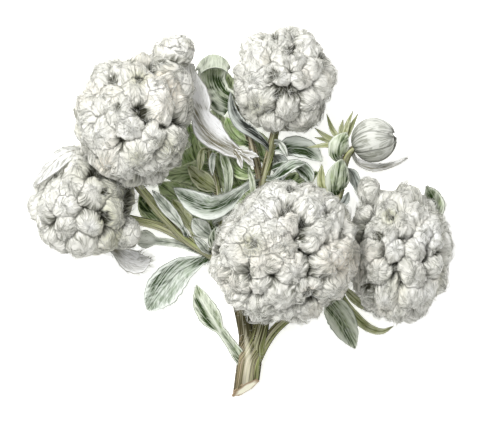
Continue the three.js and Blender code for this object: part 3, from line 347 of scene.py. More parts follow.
def strands(paths, thickness):
    """Closed three-sided hairs along paths: each is thickest at its root and ends in a point."""
    count, steps, _ = paths.shape
    tangents = unit(np.gradient(paths, axis=1) + 1e-9)
    aside = np.where(np.abs(tangents[:, :1, 2:]) < 0.8, (0, 0, 1), (1, 0, 0))
    right = unit(np.cross(tangents, aside))
    up = np.cross(tangents, right)
    taper = np.linspace(1, 0.45, steps - 1)[None, :, None] * thickness[:, None, None]
    rings = []
    for k in range(3):
        turn = 2 * math.pi * k / 3
        rings.append(paths[:, :-1] + taper * (right * math.cos(turn) + up * math.sin(turn))[:, :-1])
    body = np.stack(rings, axis=2).reshape(count, -1, 3)
    points = np.concatenate((body, paths[:, -1:]), axis=1)
    size = points.shape[1]
    first = (np.arange(count) * size)[:, None]
    k = np.arange(3)
    after = (k + 1) % 3
    quads = [
        np.stack((ring + k, ring + after, ring + 3 + after, ring + 3 + k), -1)
        for ring in (first + row for row in range(0, 3 * (steps - 2), 3))
    ]
    quads = np.concatenate([quad.reshape(-1, 4) for quad in quads])
    last = first + size - 4
    tips = np.stack((last + k, last + after, np.broadcast_to(last + 3, (count, 3))), -1).reshape(-1, 3)
    roots = np.concatenate((first + 2, first + 1, first), axis=1)
    share = np.append(np.repeat(np.linspace(0, 1, steps)[:-1], 3), 1)
    return points.reshape(-1, 3), [quads, tips, roots], np.tile(share, (count, 1))


def shader_group(name, takes, gives):
    """A shared shader group with its inputs and outputs."""
    tree = bpy.data.node_groups.new(name, "ShaderNodeTree")
    for socket, kind, value in takes:
        made = tree.interface.new_socket(socket, in_out="INPUT", socket_type="NodeSocket" + kind)
        made.default_value = value
    for socket, kind in gives:
        tree.interface.new_socket(socket, in_out="OUTPUT", socket_type="NodeSocket" + kind)
    return tree, tree.nodes.new("NodeGroupInput"), tree.nodes.new("NodeGroupOutput")


# Fine lines that run along a blade or a stem: noise drawn out along the place's second number.
fibres, enter, leave = shader_group(
    "fibres",
    [
        ("Place", "Vector", (0, 0, 0)), ("Fineness", "Float", 4.0), ("Draw", "Float", 0.5),
        ("Slant", "Float", 0.0),
    ],
    [("Lines", "Float"), ("Mottle", "Float")],
)
place = enter.outputs["Place"]
split = add(fibres, "SeparateXYZ", {0: place})
lean = figure(fibres, "MULTIPLY", split.outputs[1], enter.outputs["Slant"])
across = figure(fibres, "ADD", split.outputs[0], lean)
across = figure(fibres, "MULTIPLY", across, enter.outputs["Fineness"])
along = figure(fibres, "MULTIPLY", split.outputs[1], enter.outputs["Draw"])
drawn = add(fibres, "CombineXYZ", {0: across, 1: along, 2: split.outputs[2]}).outputs[0]
lines = add(fibres, "TexNoise", {"Vector": drawn, "Scale": 1.0, "Detail": 2.0}).outputs[0]
patches = add(fibres, "TexNoise", {"Vector": place, "Scale": 0.7, "Detail": 2.0}).outputs[0]
fibres.links.new(spread(fibres, lines, 0.36, 0.64), leave.inputs["Lines"])
fibres.links.new(spread(fibres, patches, 0.35, 0.65), leave.inputs["Mottle"])


def group_node(tree, group, inputs):
    """A shared group, placed in a material's tree."""
    return add(tree, "Group", inputs, node_tree=group).outputs


def relief(tree, shader, height, depth):
    """Fine relief on a shader, `depth` metres deep."""
    bump = add(tree, "Bump", {"Height": height, "Distance": depth, "Strength": 1.0})
    tree.links.new(bump.outputs[0], shader.inputs["Normal"])


def attribute(tree, name, output="Vector"):
    """A value that is stored on the points of a mesh."""
    return add(tree, "Attribute", attribute_name=name).outputs[output]


stem_skin, tree, shader = new_material("stem_skin", 0.75)
place = attribute(tree, "place")
sides = add(tree, "SeparateXYZ", {0: attribute(tree, "lit")})
fine = group_node(tree, fibres, {"Place": place, "Fineness": 6.0, "Draw": 0.14})
coarse = group_node(tree, fibres, {"Place": place, "Fineness": 2.6, "Draw": 0.08})
brown = figure(tree, "ADD", sides.outputs[0], figure(tree, "MULTIPLY", coarse["Lines"], 0.5))
skin = blend(tree, spread(tree, brown, 0.2, 1.2), paint(*STEM_OLIVE), paint(*STEM_BROWN))
# The second number of "lit" is the painted highlight along the stalks' tops, and the third is the
# painted shade and shadow.
pale = figure(tree, "ADD", sides.outputs[1], figure(tree, "MULTIPLY", coarse["Lines"], 0.3))
skin = blend(tree, pale, skin, paint(*STEM_PALE))
dark = figure(tree, "MULTIPLY", figure(tree, "SUBTRACT", 1.0, fine["Lines"]), 0.65)
dark = figure(tree, "MULTIPLY", dark, figure(tree, "SUBTRACT", 1.25, sides.outputs[1]))
dark = figure(tree, "ADD", dark, sides.outputs[2])
skin = blend(tree, dark, skin, paint(*STEM_DARK))
tree.links.new(skin, shader.inputs["Base Color"])
relief(tree, shader, fine["Lines"], 0.05 * MM)

cut_face, tree, shader = new_material("cut_face", 0.8)
rings = group_node(tree, fibres, {"Place": attribute(tree, "place"), "Fineness": 3.0, "Draw": 3.0})
pith = blend(tree, figure(tree, "MULTIPLY", rings["Lines"], 0.35), paint(*CUT_CREAM), paint(*STEM_PALE))
rind = spread(tree, add(tree, "SeparateXYZ", {0: attribute(tree, "lit")}).outputs[2], 0.55, 0.95)
tree.links.new(blend(tree, rind, pith, paint(*STEM_BROWN)), shader.inputs["Base Color"])

stem_points, stem_faces, stem_places, stem_lights, stem_outward = [], [], [], [], []
angle = np.arange(STEM_SIDES) / STEM_SIDES * 2 * math.pi
total = 0
for number, (name, stalk) in enumerate(STALKS.items()):
    line = spine_through(stalk["points"], np.linspace(0, 1, 60))
    length = along_line(line)[1][-1]
    steps = int(length / STEM_STEP)
    shares = np.linspace(0, 1, steps + 1)
    line = spine_through(stalk["points"], shares)
    tangents, distance = along_line(line)
    sides, ups = carried_frames(tangents)
    radii = np.interp(shares, np.linspace(0, 1, len(stalk["radii"])), stalk["radii"])
    if name == "main":
        kept = np.argmax((line - CUT_POINT) @ CUT_FACING < -CUT_SLANT)
        line, tangents, sides, ups = line[kept:], tangents[kept:], sides[kept:], ups[kept:]
        radii, distance = radii[kept:], distance[kept:]
    rib = 1 + RIB_HEIGHT * np.sin(RIBS * angle[None] + RIB_TWIST * distance[:, None]) - RIB_HEIGHT / 2
    knots = 1 + KNOT_HEIGHT * np.sin(distance * 0.9 + number)[:, None]
    outward = sides[:, None] * np.cos(angle)[:, None] + ups[:, None] * np.sin(angle)[:, None]
    skin_points = line[:, None] + outward * (radii[:, None] * rib * knots)[..., None]
    if name == "main":
        reach = ((CUT_POINT - skin_points[0]) @ CUT_FACING) / (tangents[0] @ CUT_FACING)
        cut_ring = skin_points[0] + reach[:, None] * tangents[0]
        skin_points = np.concatenate((cut_ring[None], skin_points))
        outward = np.concatenate((outward[:1], outward))
        distance = np.concatenate(([distance[0] - CUT_SLANT], distance))
        radii = np.concatenate((radii[:1], radii))
    rows = len(skin_points)
    around = angle[None] * radii[:, None]
    place = np.stack((around, distance[:, None] + 0 * around, 0 * around + 7.3 * number), -1)
    leaning = stalk["brown"] - 0.45 * outward[..., 0]
    # A pale band along the top of each stalk, leaning to the lamp's side, is a painted highlight.
    top_highlight = np.exp(-((outward[..., 0] + 0.1) ** 2) / 0.1) * (0.75 if name == "main" else 0.45)
    # dark is painted shade: along each stalk's flanks as seen from above, in the grooves between the
    # ribs, and as painted shadow where a head keeps the light off.
    dark = 0.55 * np.exp(-((outward[..., 2] - 0.12) ** 2) / 0.05)
    dark = dark + 0.3 * (0.5 - 0.5 * np.sin(RIBS * angle[None] + RIB_TWIST * distance[:, None])) ** 3
    for x, y, size, strength in STEM_SHADE:
        dark = dark + strength * near(skin_points, x, y, size)
    lit = np.stack((leaning, top_highlight, dark), -1)
    stem_points.append(skin_points.reshape(-1, 3))
    stem_places.append(place.reshape(-1, 3))
    stem_lights.append(lit.reshape(-1, 3))
    stem_outward.append(outward.reshape(-1, 3))
    stem_faces.append(grid_faces(rows, STEM_SIDES, total, closed=True))
    for row in (0, rows - 1):  # each open end is closed by a fan round its hub
        middle = skin_points[row].mean(axis=0)
        ring = total + row * STEM_SIDES + np.arange(STEM_SIDES)
        hub = sum(len(points) for points in stem_points)
        stem_points.append(middle[None])
        stem_places.append(np.array([[0, distance[row], 0]]))
        stem_lights.append(np.array([[0, 0, 0]]))
        stem_outward.append(outward[row][:1])
        fan = np.stack((ring, np.roll(ring, -1), np.full(STEM_SIDES, hub)), -1)
        stem_faces.append(fan if row else fan[:, ::-1])
    total = sum(len(points) for points in stem_points)
all_points = np.concatenate(stem_points)
all_outward = np.concatenate(stem_outward)
stem_values = {"place": np.concatenate(stem_places), "lit": np.concatenate(stem_lights)}
stem = mesh_piece("stem", all_points, stem_faces, stem_skin, stem_values)
finished(stem, "stem", "branching_stem")

# The cut end of the main stem: a slanting, cream-coloured slice of pith inside a brown rind, set
# into the open end of the stem's skin.
SLICE_RINGS = 8
SLICE_WIDTH = 0.985  # in the stem's own width, so that the slice stays inside its skin
SLICE_PROUD = 0.05  # in millimetres, as the next two
SLICE_DOME = 0.12
SLICE_DEPTH = 0.3
hub = cut_ring.mean(axis=0)
shares = np.linspace(1, 0.02, SLICE_RINGS)
slice_points = hub + (cut_ring - hub)[None] * shares[:, None, None] * SLICE_WIDTH
backs = slice_points[::-1] - CUT_FACING * SLICE_DEPTH
slice_points = slice_points + CUT_FACING * (SLICE_PROUD + SLICE_DOME * (1 - shares[:, None, None] ** 2))
slice_points = np.concatenate((backs, slice_points)).reshape(-1, 3)
edge = np.tile(np.repeat(np.concatenate((shares[::-1], shares)), STEM_SIDES)[:, None], (1, 3))
slice_faces = [grid_faces(2 * SLICE_RINGS, STEM_SIDES, closed=True)]
ring = np.arange(STEM_SIDES)
slice_faces.append(ring[None, ::-1])
slice_faces.append((ring + (2 * SLICE_RINGS - 1) * STEM_SIDES)[None])
slice_values = {"place": slice_points, "lit": edge}
cut_slice = mesh_piece("cut_slice", slice_points, slice_faces, cut_face, slice_values)
finished(cut_slice, "stem")

# Thin grey hairs stand on the stems and lean every way. They are single plant hairs, dark at the
# root and pale at the tip, on all but the cut end and the underside.
STEM_HAIRS = 2600
STEM_HAIR_LENGTH = (0.4, 0.9)
STEM_HAIR_THICKNESS = 0.028
HAIR_ROOT = (96, 100, 82)
HAIR_PALE = (238, 238, 230)
hair_white, tree, shader = new_material("hair_white", 0.9)
tint = blend(tree, attribute(tree, "tone", "Fac"), paint(*HAIR_ROOT), paint(*HAIR_PALE))
tree.links.new(tint, shader.inputs["Base Color"])

random = np.random.default_rng(5)
roots = random.integers(0, len(all_points), STEM_HAIRS)
roots = roots[(all_points[roots][:, 1] > -26) & (all_outward[roots][:, 2] > -0.3)]
lengths = random.uniform(*STEM_HAIR_LENGTH, len(roots))[:, None]
drift = random.normal(0, 0.6, (len(roots), 3))
ways = unit(all_outward[roots] + drift * 0.8)
start = all_points[roots] - all_outward[roots] * 0.05
paths = np.stack((start, start + ways * lengths * 0.5, start + ways * lengths + drift * 0.15), 1)
points, faces, share = strands(paths, np.full(len(roots), STEM_HAIR_THICKNESS))
points[:, 2] = np.maximum(points[:, 2], 0)
stem_wool = mesh_piece("stem_wool", points, faces, hair_white, {"tone": np.ravel(0.35 + 0.65 * share)})
finished(stem_wool, "stem")

# The woolly heads. Each is a ball of small flower heads wrapped in white wool: a dome of wool for
# each, smaller locks on the domes, and creases between them with painted grey-olive shade at the
# bottom.
TIP_HEIGHT = 1.02  # how far the domes reach, in a head's half width
SWELL = 0.05  # how much some domes stand out further than others
SWELL_DRAWS = 500  # where its draws start
SPOT_REACH = 0.96  # how near the seen domes come to the edge of a head
SPOT_ROOM = 0.78  # no other dome stands nearer to a seen one, in the room that each has
STRAY = 0.34  # how far the other domes are off an even spread
LUMP_SIZE = (0.82, 1.3)  # a lump's radius, in half the way to its neighbours
LUMP_STRETCH = 0.35  # how much longer than round they are
SOFTNESS = 0.035  # how much the lumps run into each other, in a head's half width
CORE_HEIGHT = 0.77  # the bottom of the creases
LOCKS = 4.6  # smaller locks of wool to a capitulum
KNOB_CELLS = 20
KNOB_DOMES = 7
KNOB_LOCKS = 40
KNOB_HAIRS = 260
KNOB_TUFTS = 0.2
TUFT_HAIRS = 16
TUFT_THICKNESS = (0.026, 0.05)
HAIR_THICKNESS = (0.024, 0.048)
# The brightest white is painted highlight, and the grey and the deep olive-grey are painted shade; the
# grey is also the wool's random pencil hatch.
WOOL_HIGHLIGHT = (250, 250, 247)
WOOL_WHITE = (228, 227, 220)
WOOL_CREAM = (230, 219, 199)
WOOL_OLIVE = (176, 176, 136)
WOOL_GREY = (150, 150, 140)
WOOL_CREASE_SHADE = (60, 60, 48)
LOOSE_ROOT = (74, 74, 60)
LOOSE_GREY = (168, 168, 157)
LOOSE_WHITE = (243, 243, 238)
TALLEST = 27.2  # the wool stays below this

wool, tree, shader = new_material("wool", 0.95)
parts = add(tree, "SeparateXYZ", {0: attribute(tree, "wool")})
combed = attribute(tree, "comb")
streaks = add(tree, "TexNoise", {"Vector": combed, "Scale": 1.0, "Detail": 3.0}).outputs[0]
streaks = spread(tree, streaks, 0.34, 0.66)
soft = add(tree, "TexNoise", {"Vector": combed, "Scale": 0.35, "Detail": 2.0}).outputs[0]
ragged = figure(tree, "MULTIPLY", figure(tree, "SUBTRACT", 0.5, streaks), 0.55)
ragged = figure(tree, "MULTIPLY", ragged, spread(tree, parts.outputs[0], -0.3, 0.35, 0.1, 1.0))
# The first number of "wool" is painted shade in the creases, pits and grey marks, and below zero a
# painted highlight on the domes; depth blends it to the brightest white, the grey and the deep
# olive-grey.
depth = figure(tree, "ADD", parts.outputs[0], ragged)
tone = blend(tree, parts.outputs[1], paint(*WOOL_WHITE), paint(*WOOL_CREAM))
tone = blend(tree, parts.outputs[2], tone, paint(*WOOL_OLIVE))
tone = blend(tree, spread(tree, depth, -0.45, 0.0, 1.0, 0.0), tone, paint(*WOOL_HIGHLIGHT))
pencil = spread(tree, soft, 0.42, 0.62, 0.03, 0.42)
pencil = figure(tree, "MULTIPLY", figure(tree, "SUBTRACT", 1.0, streaks), pencil)
tone = blend(tree, pencil, tone, paint(*WOOL_GREY))
tone = blend(tree, spread(tree, depth, 0.12, 0.62), tone, paint(*WOOL_GREY))
tone = blend(tree, spread(tree, depth, 0.5, 1.0), tone, paint(*WOOL_CREASE_SHADE))
tree.links.new(tone, shader.inputs["Base Color"])
relief(tree, shader, streaks, 0.09 * MM)

wool_hair, tree, shader = new_material("wool_hair", 0.95)
tone = attribute(tree, "tone", "Fac")
tint = blend(tree, spread(tree, tone, 0.0, 0.55), paint(*LOOSE_ROOT), paint(*LOOSE_GREY))
tint = blend(tree, spread(tree, tone, 0.5, 1.0), tint, paint(*LOOSE_WHITE))
tree.links.new(tint, shader.inputs["Base Color"])


def ball(cells):
    """Ways over a ball, and the quads between them: a cube's grid swelled to a ball."""
    steps = np.tan(np.linspace(-1, 1, cells + 1) * math.pi / 4)
    u, v = np.meshgrid(steps, steps, indexing="ij")
    ways, quads = [], []
    for axis, sign in itertools.product(range(3), (1, -1)):
        face = np.empty((cells + 1, cells + 1, 3))
        face[..., axis] = sign
        face[..., (axis + 1) % 3] = u * sign
        face[..., (axis + 2) % 3] = v
        quads.append(grid_faces(cells + 1, cells + 1, len(ways) * (cells + 1) ** 2)[:, ::-1])
        ways.append(face.reshape(-1, 3))
    ways = unit(np.concatenate(ways))
    rounded = np.round(ways * 1e5).astype(int)
    _, first, same = np.unique(rounded, axis=0, return_index=True, return_inverse=True)
    return ways[first], np.ravel(same)[np.concatenate(quads)]


def draws(numbers):
    """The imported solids' own repeatable draw, from 0 to 1, for each number."""
    value = np.sin(numbers * 12.9898) * 43758.5453
    return value - np.floor(value)


def even_ways(count, seed):
    """Ways spread evenly over a ball, each then moved a little."""
    i = np.arange(count)
    height = 1 - 2 * (i + 0.5) / count
    across = np.sqrt(1 - height**2)
    turn = i * math.pi * (3 - math.sqrt(5))
    ways = np.stack((across * np.cos(turn), height, across * np.sin(turn)), -1)
    for part in range(3):
        ways[:, part] += STRAY * math.sqrt(4 * math.pi / count) * (draws(seed + 3 * i + part) - 0.5)
    return unit(ways)


def capitulum_ways(head):
    """The ways in which a head's capitula face: the seen ones at its spots, and others between."""
    seen = (np.array(head["spots"]) - head["centre"][:2]) / head["half"][:2]
    seen = seen * np.minimum(1, SPOT_REACH / np.linalg.norm(seen, axis=1))[:, None]
    placed = np.column_stack((seen, np.sqrt(1 - np.sum(seen**2, axis=1))))
    others = even_ways(head["capitula"], head["seed"])
    apart = np.arccos(np.clip(others @ placed.T, -1, 1)).min(axis=1)
    room = SPOT_ROOM * math.sqrt(4 * math.pi / head["capitula"])
    ways = np.concatenate((placed, others[apart > room]))
    if head.get("rests"):
        ways = ways[np.argsort(ways[:, 2], kind="stable")]
        ways[0] = (0, 0, -1)
    return ways


def nearest_locks(ways, facings):
    """How near each way is to the edge of its lock of wool (1), and a draw for that edge."""
    angles = np.arccos(np.clip(ways @ facings.T, -1, 1))
    order = np.argpartition(angles, 2, axis=1)[:, :2]
    away = np.sort(np.take_along_axis(angles, order, axis=1), axis=1)
    pair = np.sort(order, axis=1)
    return 2 * away[:, 0] / (away[:, 0] + away[:, 1]), draws(pair[:, 0] * 3.7 + pair[:, 1] * 17.3)


def shape_lumps(head):
    """One egg-shaped lump of wool for each capitulum, as large as the room between its neighbours."""
    facings = head["facings"]
    number, seed = np.arange(len(facings)), head["seed"]
    angles = np.sort(np.arccos(np.clip(facings @ facings.T, -1, 1)), axis=1)[:, 1:5]
    size = np.interp(draws(seed + 900 + number), (0, 1), LUMP_SIZE) * head.get("full", 1.0)
    longer = 1 + LUMP_STRETCH * draws(seed + 1300 + number)
    loose = np.stack([draws(seed + 1700 + 3 * number + k) - 0.5 for k in range(3)], -1)
    loose = loose + 4 * (np.array(head["half"]) / np.mean(head["half"]) - 1)
    head["radius"] = angles.mean(axis=1) / 2 * size / np.sqrt(longer)
    head["reach"] = TIP_HEIGHT + SWELL * (draws(seed + SWELL_DRAWS + number) - 0.5) - head["radius"]
    head["long_way"] = unit(np.cross(facings, loose))
    head["slimming"] = 1 - 1 / longer**2


def outer_lumps(head, ways, softness):
    """The lump that stands out furthest along each way, how far the wool reaches there, and how
    much further the lump does than the next."""
    ahead = ways @ (head["facings"] * head["reach"][:, None]).T
    slim = 1 - head["slimming"] * (ways @ head["long_way"].T) ** 2
    room = ahead**2 - slim * (head["reach"] ** 2 - head["radius"] ** 2)
    far = np.where((room > 0) & (ahead > 0), (ahead + np.sqrt(np.maximum(room, 0))) / slim, 0)
    lump = np.argmax(far, axis=1)
    best, second = -np.partition(-far, 1, axis=1)[:, :2].T
    shares = np.exp((far - best[:, None]) / softness[:, None])
    merged = best + softness * np.log(shares.sum(axis=1))
    return lump, np.maximum(merged, CORE_HEIGHT), best - second


def eased(value, low, high):
    """0 below low and 1 above high, with a smooth rise between them."""
    part = np.clip((value - low) / (high - low), 0, 1)
    return part * part * (3 - 2 * part)


def head_skin(head, ways):
    """Points on a head's skin along ways from its middle, with what the wool is like there."""
    half, centre, seed = np.array(head["half"]), np.array(head["centre"]), head["seed"]
    spacing = math.sqrt(math.pi / head["capitula"])
    ruffle = head.get("ruffle", 1.0)
    stir = np.stack([grain(ways * 5 + 11 * k, seed) for k in range(3)], -1) - 0.5
    fine = np.stack([grain(ways * 14 + 5 * k, seed) for k in range(3)], -1) - 0.5
    bent = unit(ways + head.get("stir", 0.12) * stir + 0.06 * fine * ruffle)
    softness = np.full(len(ways), head.get("soft", SOFTNESS))
    for x, y, size, more in head.get("smooth", ()):
        softness = softness + more * near(ways * half + centre, x, y, size)
    dome, height, lead = outer_lumps(head, bent, softness)
    lock_share, lock_deep = nearest_locks(bent, head["locks"])
    facing = head["facings"][dome]
    share = np.arccos(np.clip(np.sum(bent * facing, 1), -1, 1)) / head["radius"][dome]
    hollow = (TIP_HEIGHT - height) / (TIP_HEIGHT - CORE_HEIGHT)
    deep = grain(ways * 4 + 17, seed)
    height = height + 0.2 * ruffle * spacing * (0.5 - lock_share**2.5) * (0.2 + lock_deep)
    height = height + 0.08 * ruffle * spacing * (grain(ways * 24, seed) - 0.5)
    right = unit(np.cross(facing, np.where(np.abs(facing[:, 2:]) < 0.8, (0, 0, 1), (1, 0, 0))))
    turn = np.arctan2(np.sum(bent * np.cross(facing, right), 1), np.sum(bent * right, 1))
    ridges = np.sin(turn * 13 + 6 * grain(ways * 9, seed + 3))
    height = height + 0.03 * ruffle * spacing * ridges * np.minimum(share, 1)
    # dark is painted shade: grey in the hollows between the domes, deeper where the grain says, along
    # the crease lines, and at the edges of the locks.
    dark = 0.34 * eased(hollow, 0.15, 0.6)
    dark = dark + eased(hollow, 0.5, 1.0) * (0.1 + 0.7 * eased(deep, 0.25, 0.75))
    dark = dark + 0.24 * eased(-lead, -0.08, 0) * eased(hollow, 0.05, 0.4) * eased(deep, 0.2, 0.7)
    dark = dark + 0.13 * ruffle * eased(lock_share, 0.7, 1) * eased(lock_deep, 0.5, 1)
    points = ways * half * height[:, None] + centre
    # grey is the painted shade, with the head's grey marks: painted shade, and painted highlight where
    # negative. cream and olive are tints of the wool.
    shade_and_tints = {
        "grey": dark,
        "cream": 0.22 * eased(grain(ways * 2.3 + 9, seed), 0.6, 0.85),
        "olive": 0.2 * eased(grain(ways * 2.0 + 30, seed), 0.62, 0.9),
    }
    for name in shade_and_tints:
        for x, y, size, strength in head.get(name, ()):
            shade_and_tints[name] = shade_and_tints[name] + strength * near(points, x, y, size)
    # A pit sinks the wool and is filled with painted shade.
    for x, y, size, pit in head.get("pits", ()):
        away = points[:, :2] - (x, y)
        star = 0.62 + 0.38 * np.abs(np.cos(2.5 * np.arctan2(away[:, 1], away[:, 0]) + x))
        inside = eased(-np.linalg.norm(away, axis=1) / (size * star), -1.15, -0.45) * (ways[:, 2] > 0.1)
        height = height - inside * pit / half.mean()
        shade_and_tints["grey"] = shade_and_tints["grey"] + inside * 0.8
    points = ways * half * height[:, None]
    for way, reach, slack in head["planes"]:
        out = points @ way
        most = reach + slack * (out - reach)
        points = points * np.where(out > reach, most / np.maximum(out, 1e-6), 1)[:, None]
    points = points + centre
    points[:, 2] = np.clip(points[:, 2], 0, TALLEST)
    wool_values = np.clip(np.stack(list(shade_and_tints.values()), -1), (-1, 0, 0), 1)
    spin = np.stack((np.cos(turn) * 5.5, np.sin(turn) * 5.5, share * 1.3 + dome * 5.3), -1)
    return points, wool_values, spin, dome, lead


def toned(tones, share):
    """The tone at each point of a set of hairs, from that of its root to that of its tip."""
    return np.ravel(tones[:, :1] + (tones[:, 1:] - tones[:, :1]) * share)


def hair_paths(head, ways, toward, length, lifts, sway):
    """Paths that climb a head's skin from `ways`, with their heights above it in `lifts`."""
    paths = []
    for k, share in enumerate(np.linspace(0, 1, lifts.shape[1])):
        shift = toward * (length * share)[:, None] + sway * (length * share**2)[:, None] * 0.5
        step_ways = unit(ways + shift)
        paths.append(head_skin(head, step_ways)[0] + step_ways * lifts[:, k, None])
    return np.stack(paths, 1)


def head_hairs(head, count, tuft_share):
    """The loose wool of a head: hairs out of the creases, whose roots take the creases' painted
    shade, pale ones over the domes, and locks of hairs that run together to a point. Round the
    head's sides more of the hairs are grey, as painted shade."""
    draw = np.random.default_rng(head["seed"])
    reach = float(np.mean(head["half"]))
    ways = unit(draw.normal(0, 1, (count * 3, 3)) + (0, 0, 0.35))
    _, wool_values, _, dome, lead = head_skin(head, ways)
    creased = np.flatnonzero(lead < 0.07)[: count // 2]
    loose = np.flatnonzero(lead >= 0.04)[: count // 2]
    paths, thick, tones = [], [], []
    for chosen, root_tone in ((creased, 0.15), (loose, 0.75)):
        some = ways[chosen]
        facing = head["facings"][dome[chosen]]
        toward = unit(facing - some * np.sum(facing * some, 1)[:, None] + 1e-6)
        sway = np.cross(some, toward) * draw.normal(0, 0.55, (len(chosen), 1))
        length = draw.uniform(0.7, 1.9, len(chosen)) / reach
        lifts = np.array((-0.06, 0.1, 0.17, 0.26)) * draw.uniform(0.4, 1.3, (len(chosen), 1))
        stray = draw.random(len(chosen)) < (0.12 if root_tone < 0.5 else 0.35)
        lifts[stray] *= 3.0
        paths.append(hair_paths(head, some, toward + 0.4 * sway, length, lifts, sway))
        thick.append(draw.uniform(*HAIR_THICKNESS, len(chosen)))
        # Crease hairs take the wool's painted shade at their roots, and hairs round the head's sides,
        # as seen from above, are more often grey: painted shade there too.
        dark = wool_values[chosen][:, 0]
        start = root_tone + (0.0 if root_tone > 0.5 else 0.7) * (1 - eased(dark, 0.1, 0.7))
        grey = (draw.random(len(chosen)) < 0.15 + 0.5 * eased(-np.abs(some[:, 2]), -0.45, -0.1)) | stray
        end = np.where(grey, draw.uniform(0.2, 0.6, len(chosen)), draw.uniform(0.8, 1.0, len(chosen)))
        tones.append(np.stack((np.minimum(start, end), end), -1))
    tufts = np.flatnonzero(draw.random(len(head["locks"])) < tuft_share)
    peak = np.repeat(head["locks"][tufts], TUFT_HAIRS, axis=0)
    spot = unit(peak + draw.normal(0, 1, peak.shape) * 0.9 / reach)
    lean = np.repeat(draw.normal(0, 0.5, (len(tufts), 3)), TUFT_HAIRS, axis=0) / reach
    tip = unit(peak + lean)
    rise = np.repeat(draw.uniform(0.35, 0.95, len(tufts)), TUFT_HAIRS)
    rise = (rise * draw.uniform(0.8, 1.15, len(peak)))[:, None]
    tip_points = head_skin(head, tip)[0] + tip * rise
    root_points = head_skin(head, spot)[0] - spot * 0.05
    knee = head_skin(head, unit(spot * 0.6 + tip * 0.4))[0] + tip * rise * 0.45
    high = knee * 0.45 + tip_points * 0.55 + tip * 0.05
    paths.append(np.stack((root_points, knee, high, tip_points), 1))
    thick.append(draw.uniform(*TUFT_THICKNESS, len(peak)))
    tones.append(np.stack((draw.uniform(0.25, 0.9, len(peak)), draw.uniform(0.85, 1, len(peak))), -1))
    paths, thick, tones = np.concatenate(paths), np.concatenate(thick), np.concatenate(tones)
    points, faces, share = strands(paths, thick)
    points[:, 2] = np.clip(points[:, 2], 0, TALLEST)
    return points, faces, toned(tones, np.clip(share * 1.8, 0, 1))


def skin_shell(head, cells):
    """A head's closed skin: its points and faces, what the wool is like, and how it is combed."""
    ways, quads = ball(cells)
    points, wool_values, spin, _, _ = head_skin(head, ways)
    return points, [quads], wool_values, spin


def knob(centre, half, seed, grey):
    """A small ball of wool that stands out from its head."""
    small = {
        "centre": centre, "half": half, "capitula": KNOB_LOCKS, "seed": seed, "ruffle": 0.4,
        "full": 1.3, "soft": 0.06, "grey": grey, "planes": [],
        "facings": even_ways(KNOB_DOMES, seed), "locks": even_ways(KNOB_LOCKS, seed + 1),
    }
    shape_lumps(small)
    return small


def joined(shells):
    """Closed shells as one mesh: all points, the faces counted on, and all stored values."""
    points, faces, *values = zip(*shells)
    firsts = np.cumsum([0] + [len(shell) for shell in points])
    faces = [quads + first for sheets, first in zip(faces, firsts) for quads in sheets]
    return np.concatenate(points), faces, *(np.concatenate(rows) for rows in values)


def build_head(name, head, cells, hairs, tuft_share=0.45):
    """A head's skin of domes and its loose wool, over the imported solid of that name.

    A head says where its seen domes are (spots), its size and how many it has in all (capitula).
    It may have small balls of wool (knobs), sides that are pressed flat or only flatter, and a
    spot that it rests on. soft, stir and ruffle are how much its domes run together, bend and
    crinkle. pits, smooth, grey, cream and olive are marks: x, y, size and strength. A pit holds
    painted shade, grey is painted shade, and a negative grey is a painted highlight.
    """
    head["facings"] = capitulum_ways(head)
    head["locks"] = even_ways(int(head["capitula"] * LOCKS), head["seed"] + 7)
    shape_lumps(head)
    head["planes"] = []
    for key, slack in (("pressed", 0), ("flatter", 0.35)):
        head["planes"] += [(unit(np.array(way)), reach, slack) for way, reach in head.get(key, ())]
    if head.get("rests"):
        head["planes"].append((np.array((0, 0, -1)), head["centre"][2], 0))
    shells = [skin_shell(head, cells)]
    hair_sets = [head_hairs(head, hairs, tuft_share)]
    for k, (place, size) in enumerate(head.get("knobs", ())):
        small = knob(place, size, head["seed"] + 60 + k, head.get("grey", ()))
        shells.append(skin_shell(small, KNOB_CELLS))
        hair_sets.append(head_hairs(small, KNOB_HAIRS, KNOB_TUFTS))
    points, faces, wool_values, spin = joined(shells)
    values = {"wool": wool_values, "comb": spin}
    finished(mesh_piece(name + "_domes", points, faces, wool, values), "wool", name)
    for k, (points, faces, tone) in enumerate(hair_sets):
        loose = mesh_piece(f"{name}_hairs_{k}", points, faces, wool_hair, {"tone": tone})
        finished(loose, "wool")


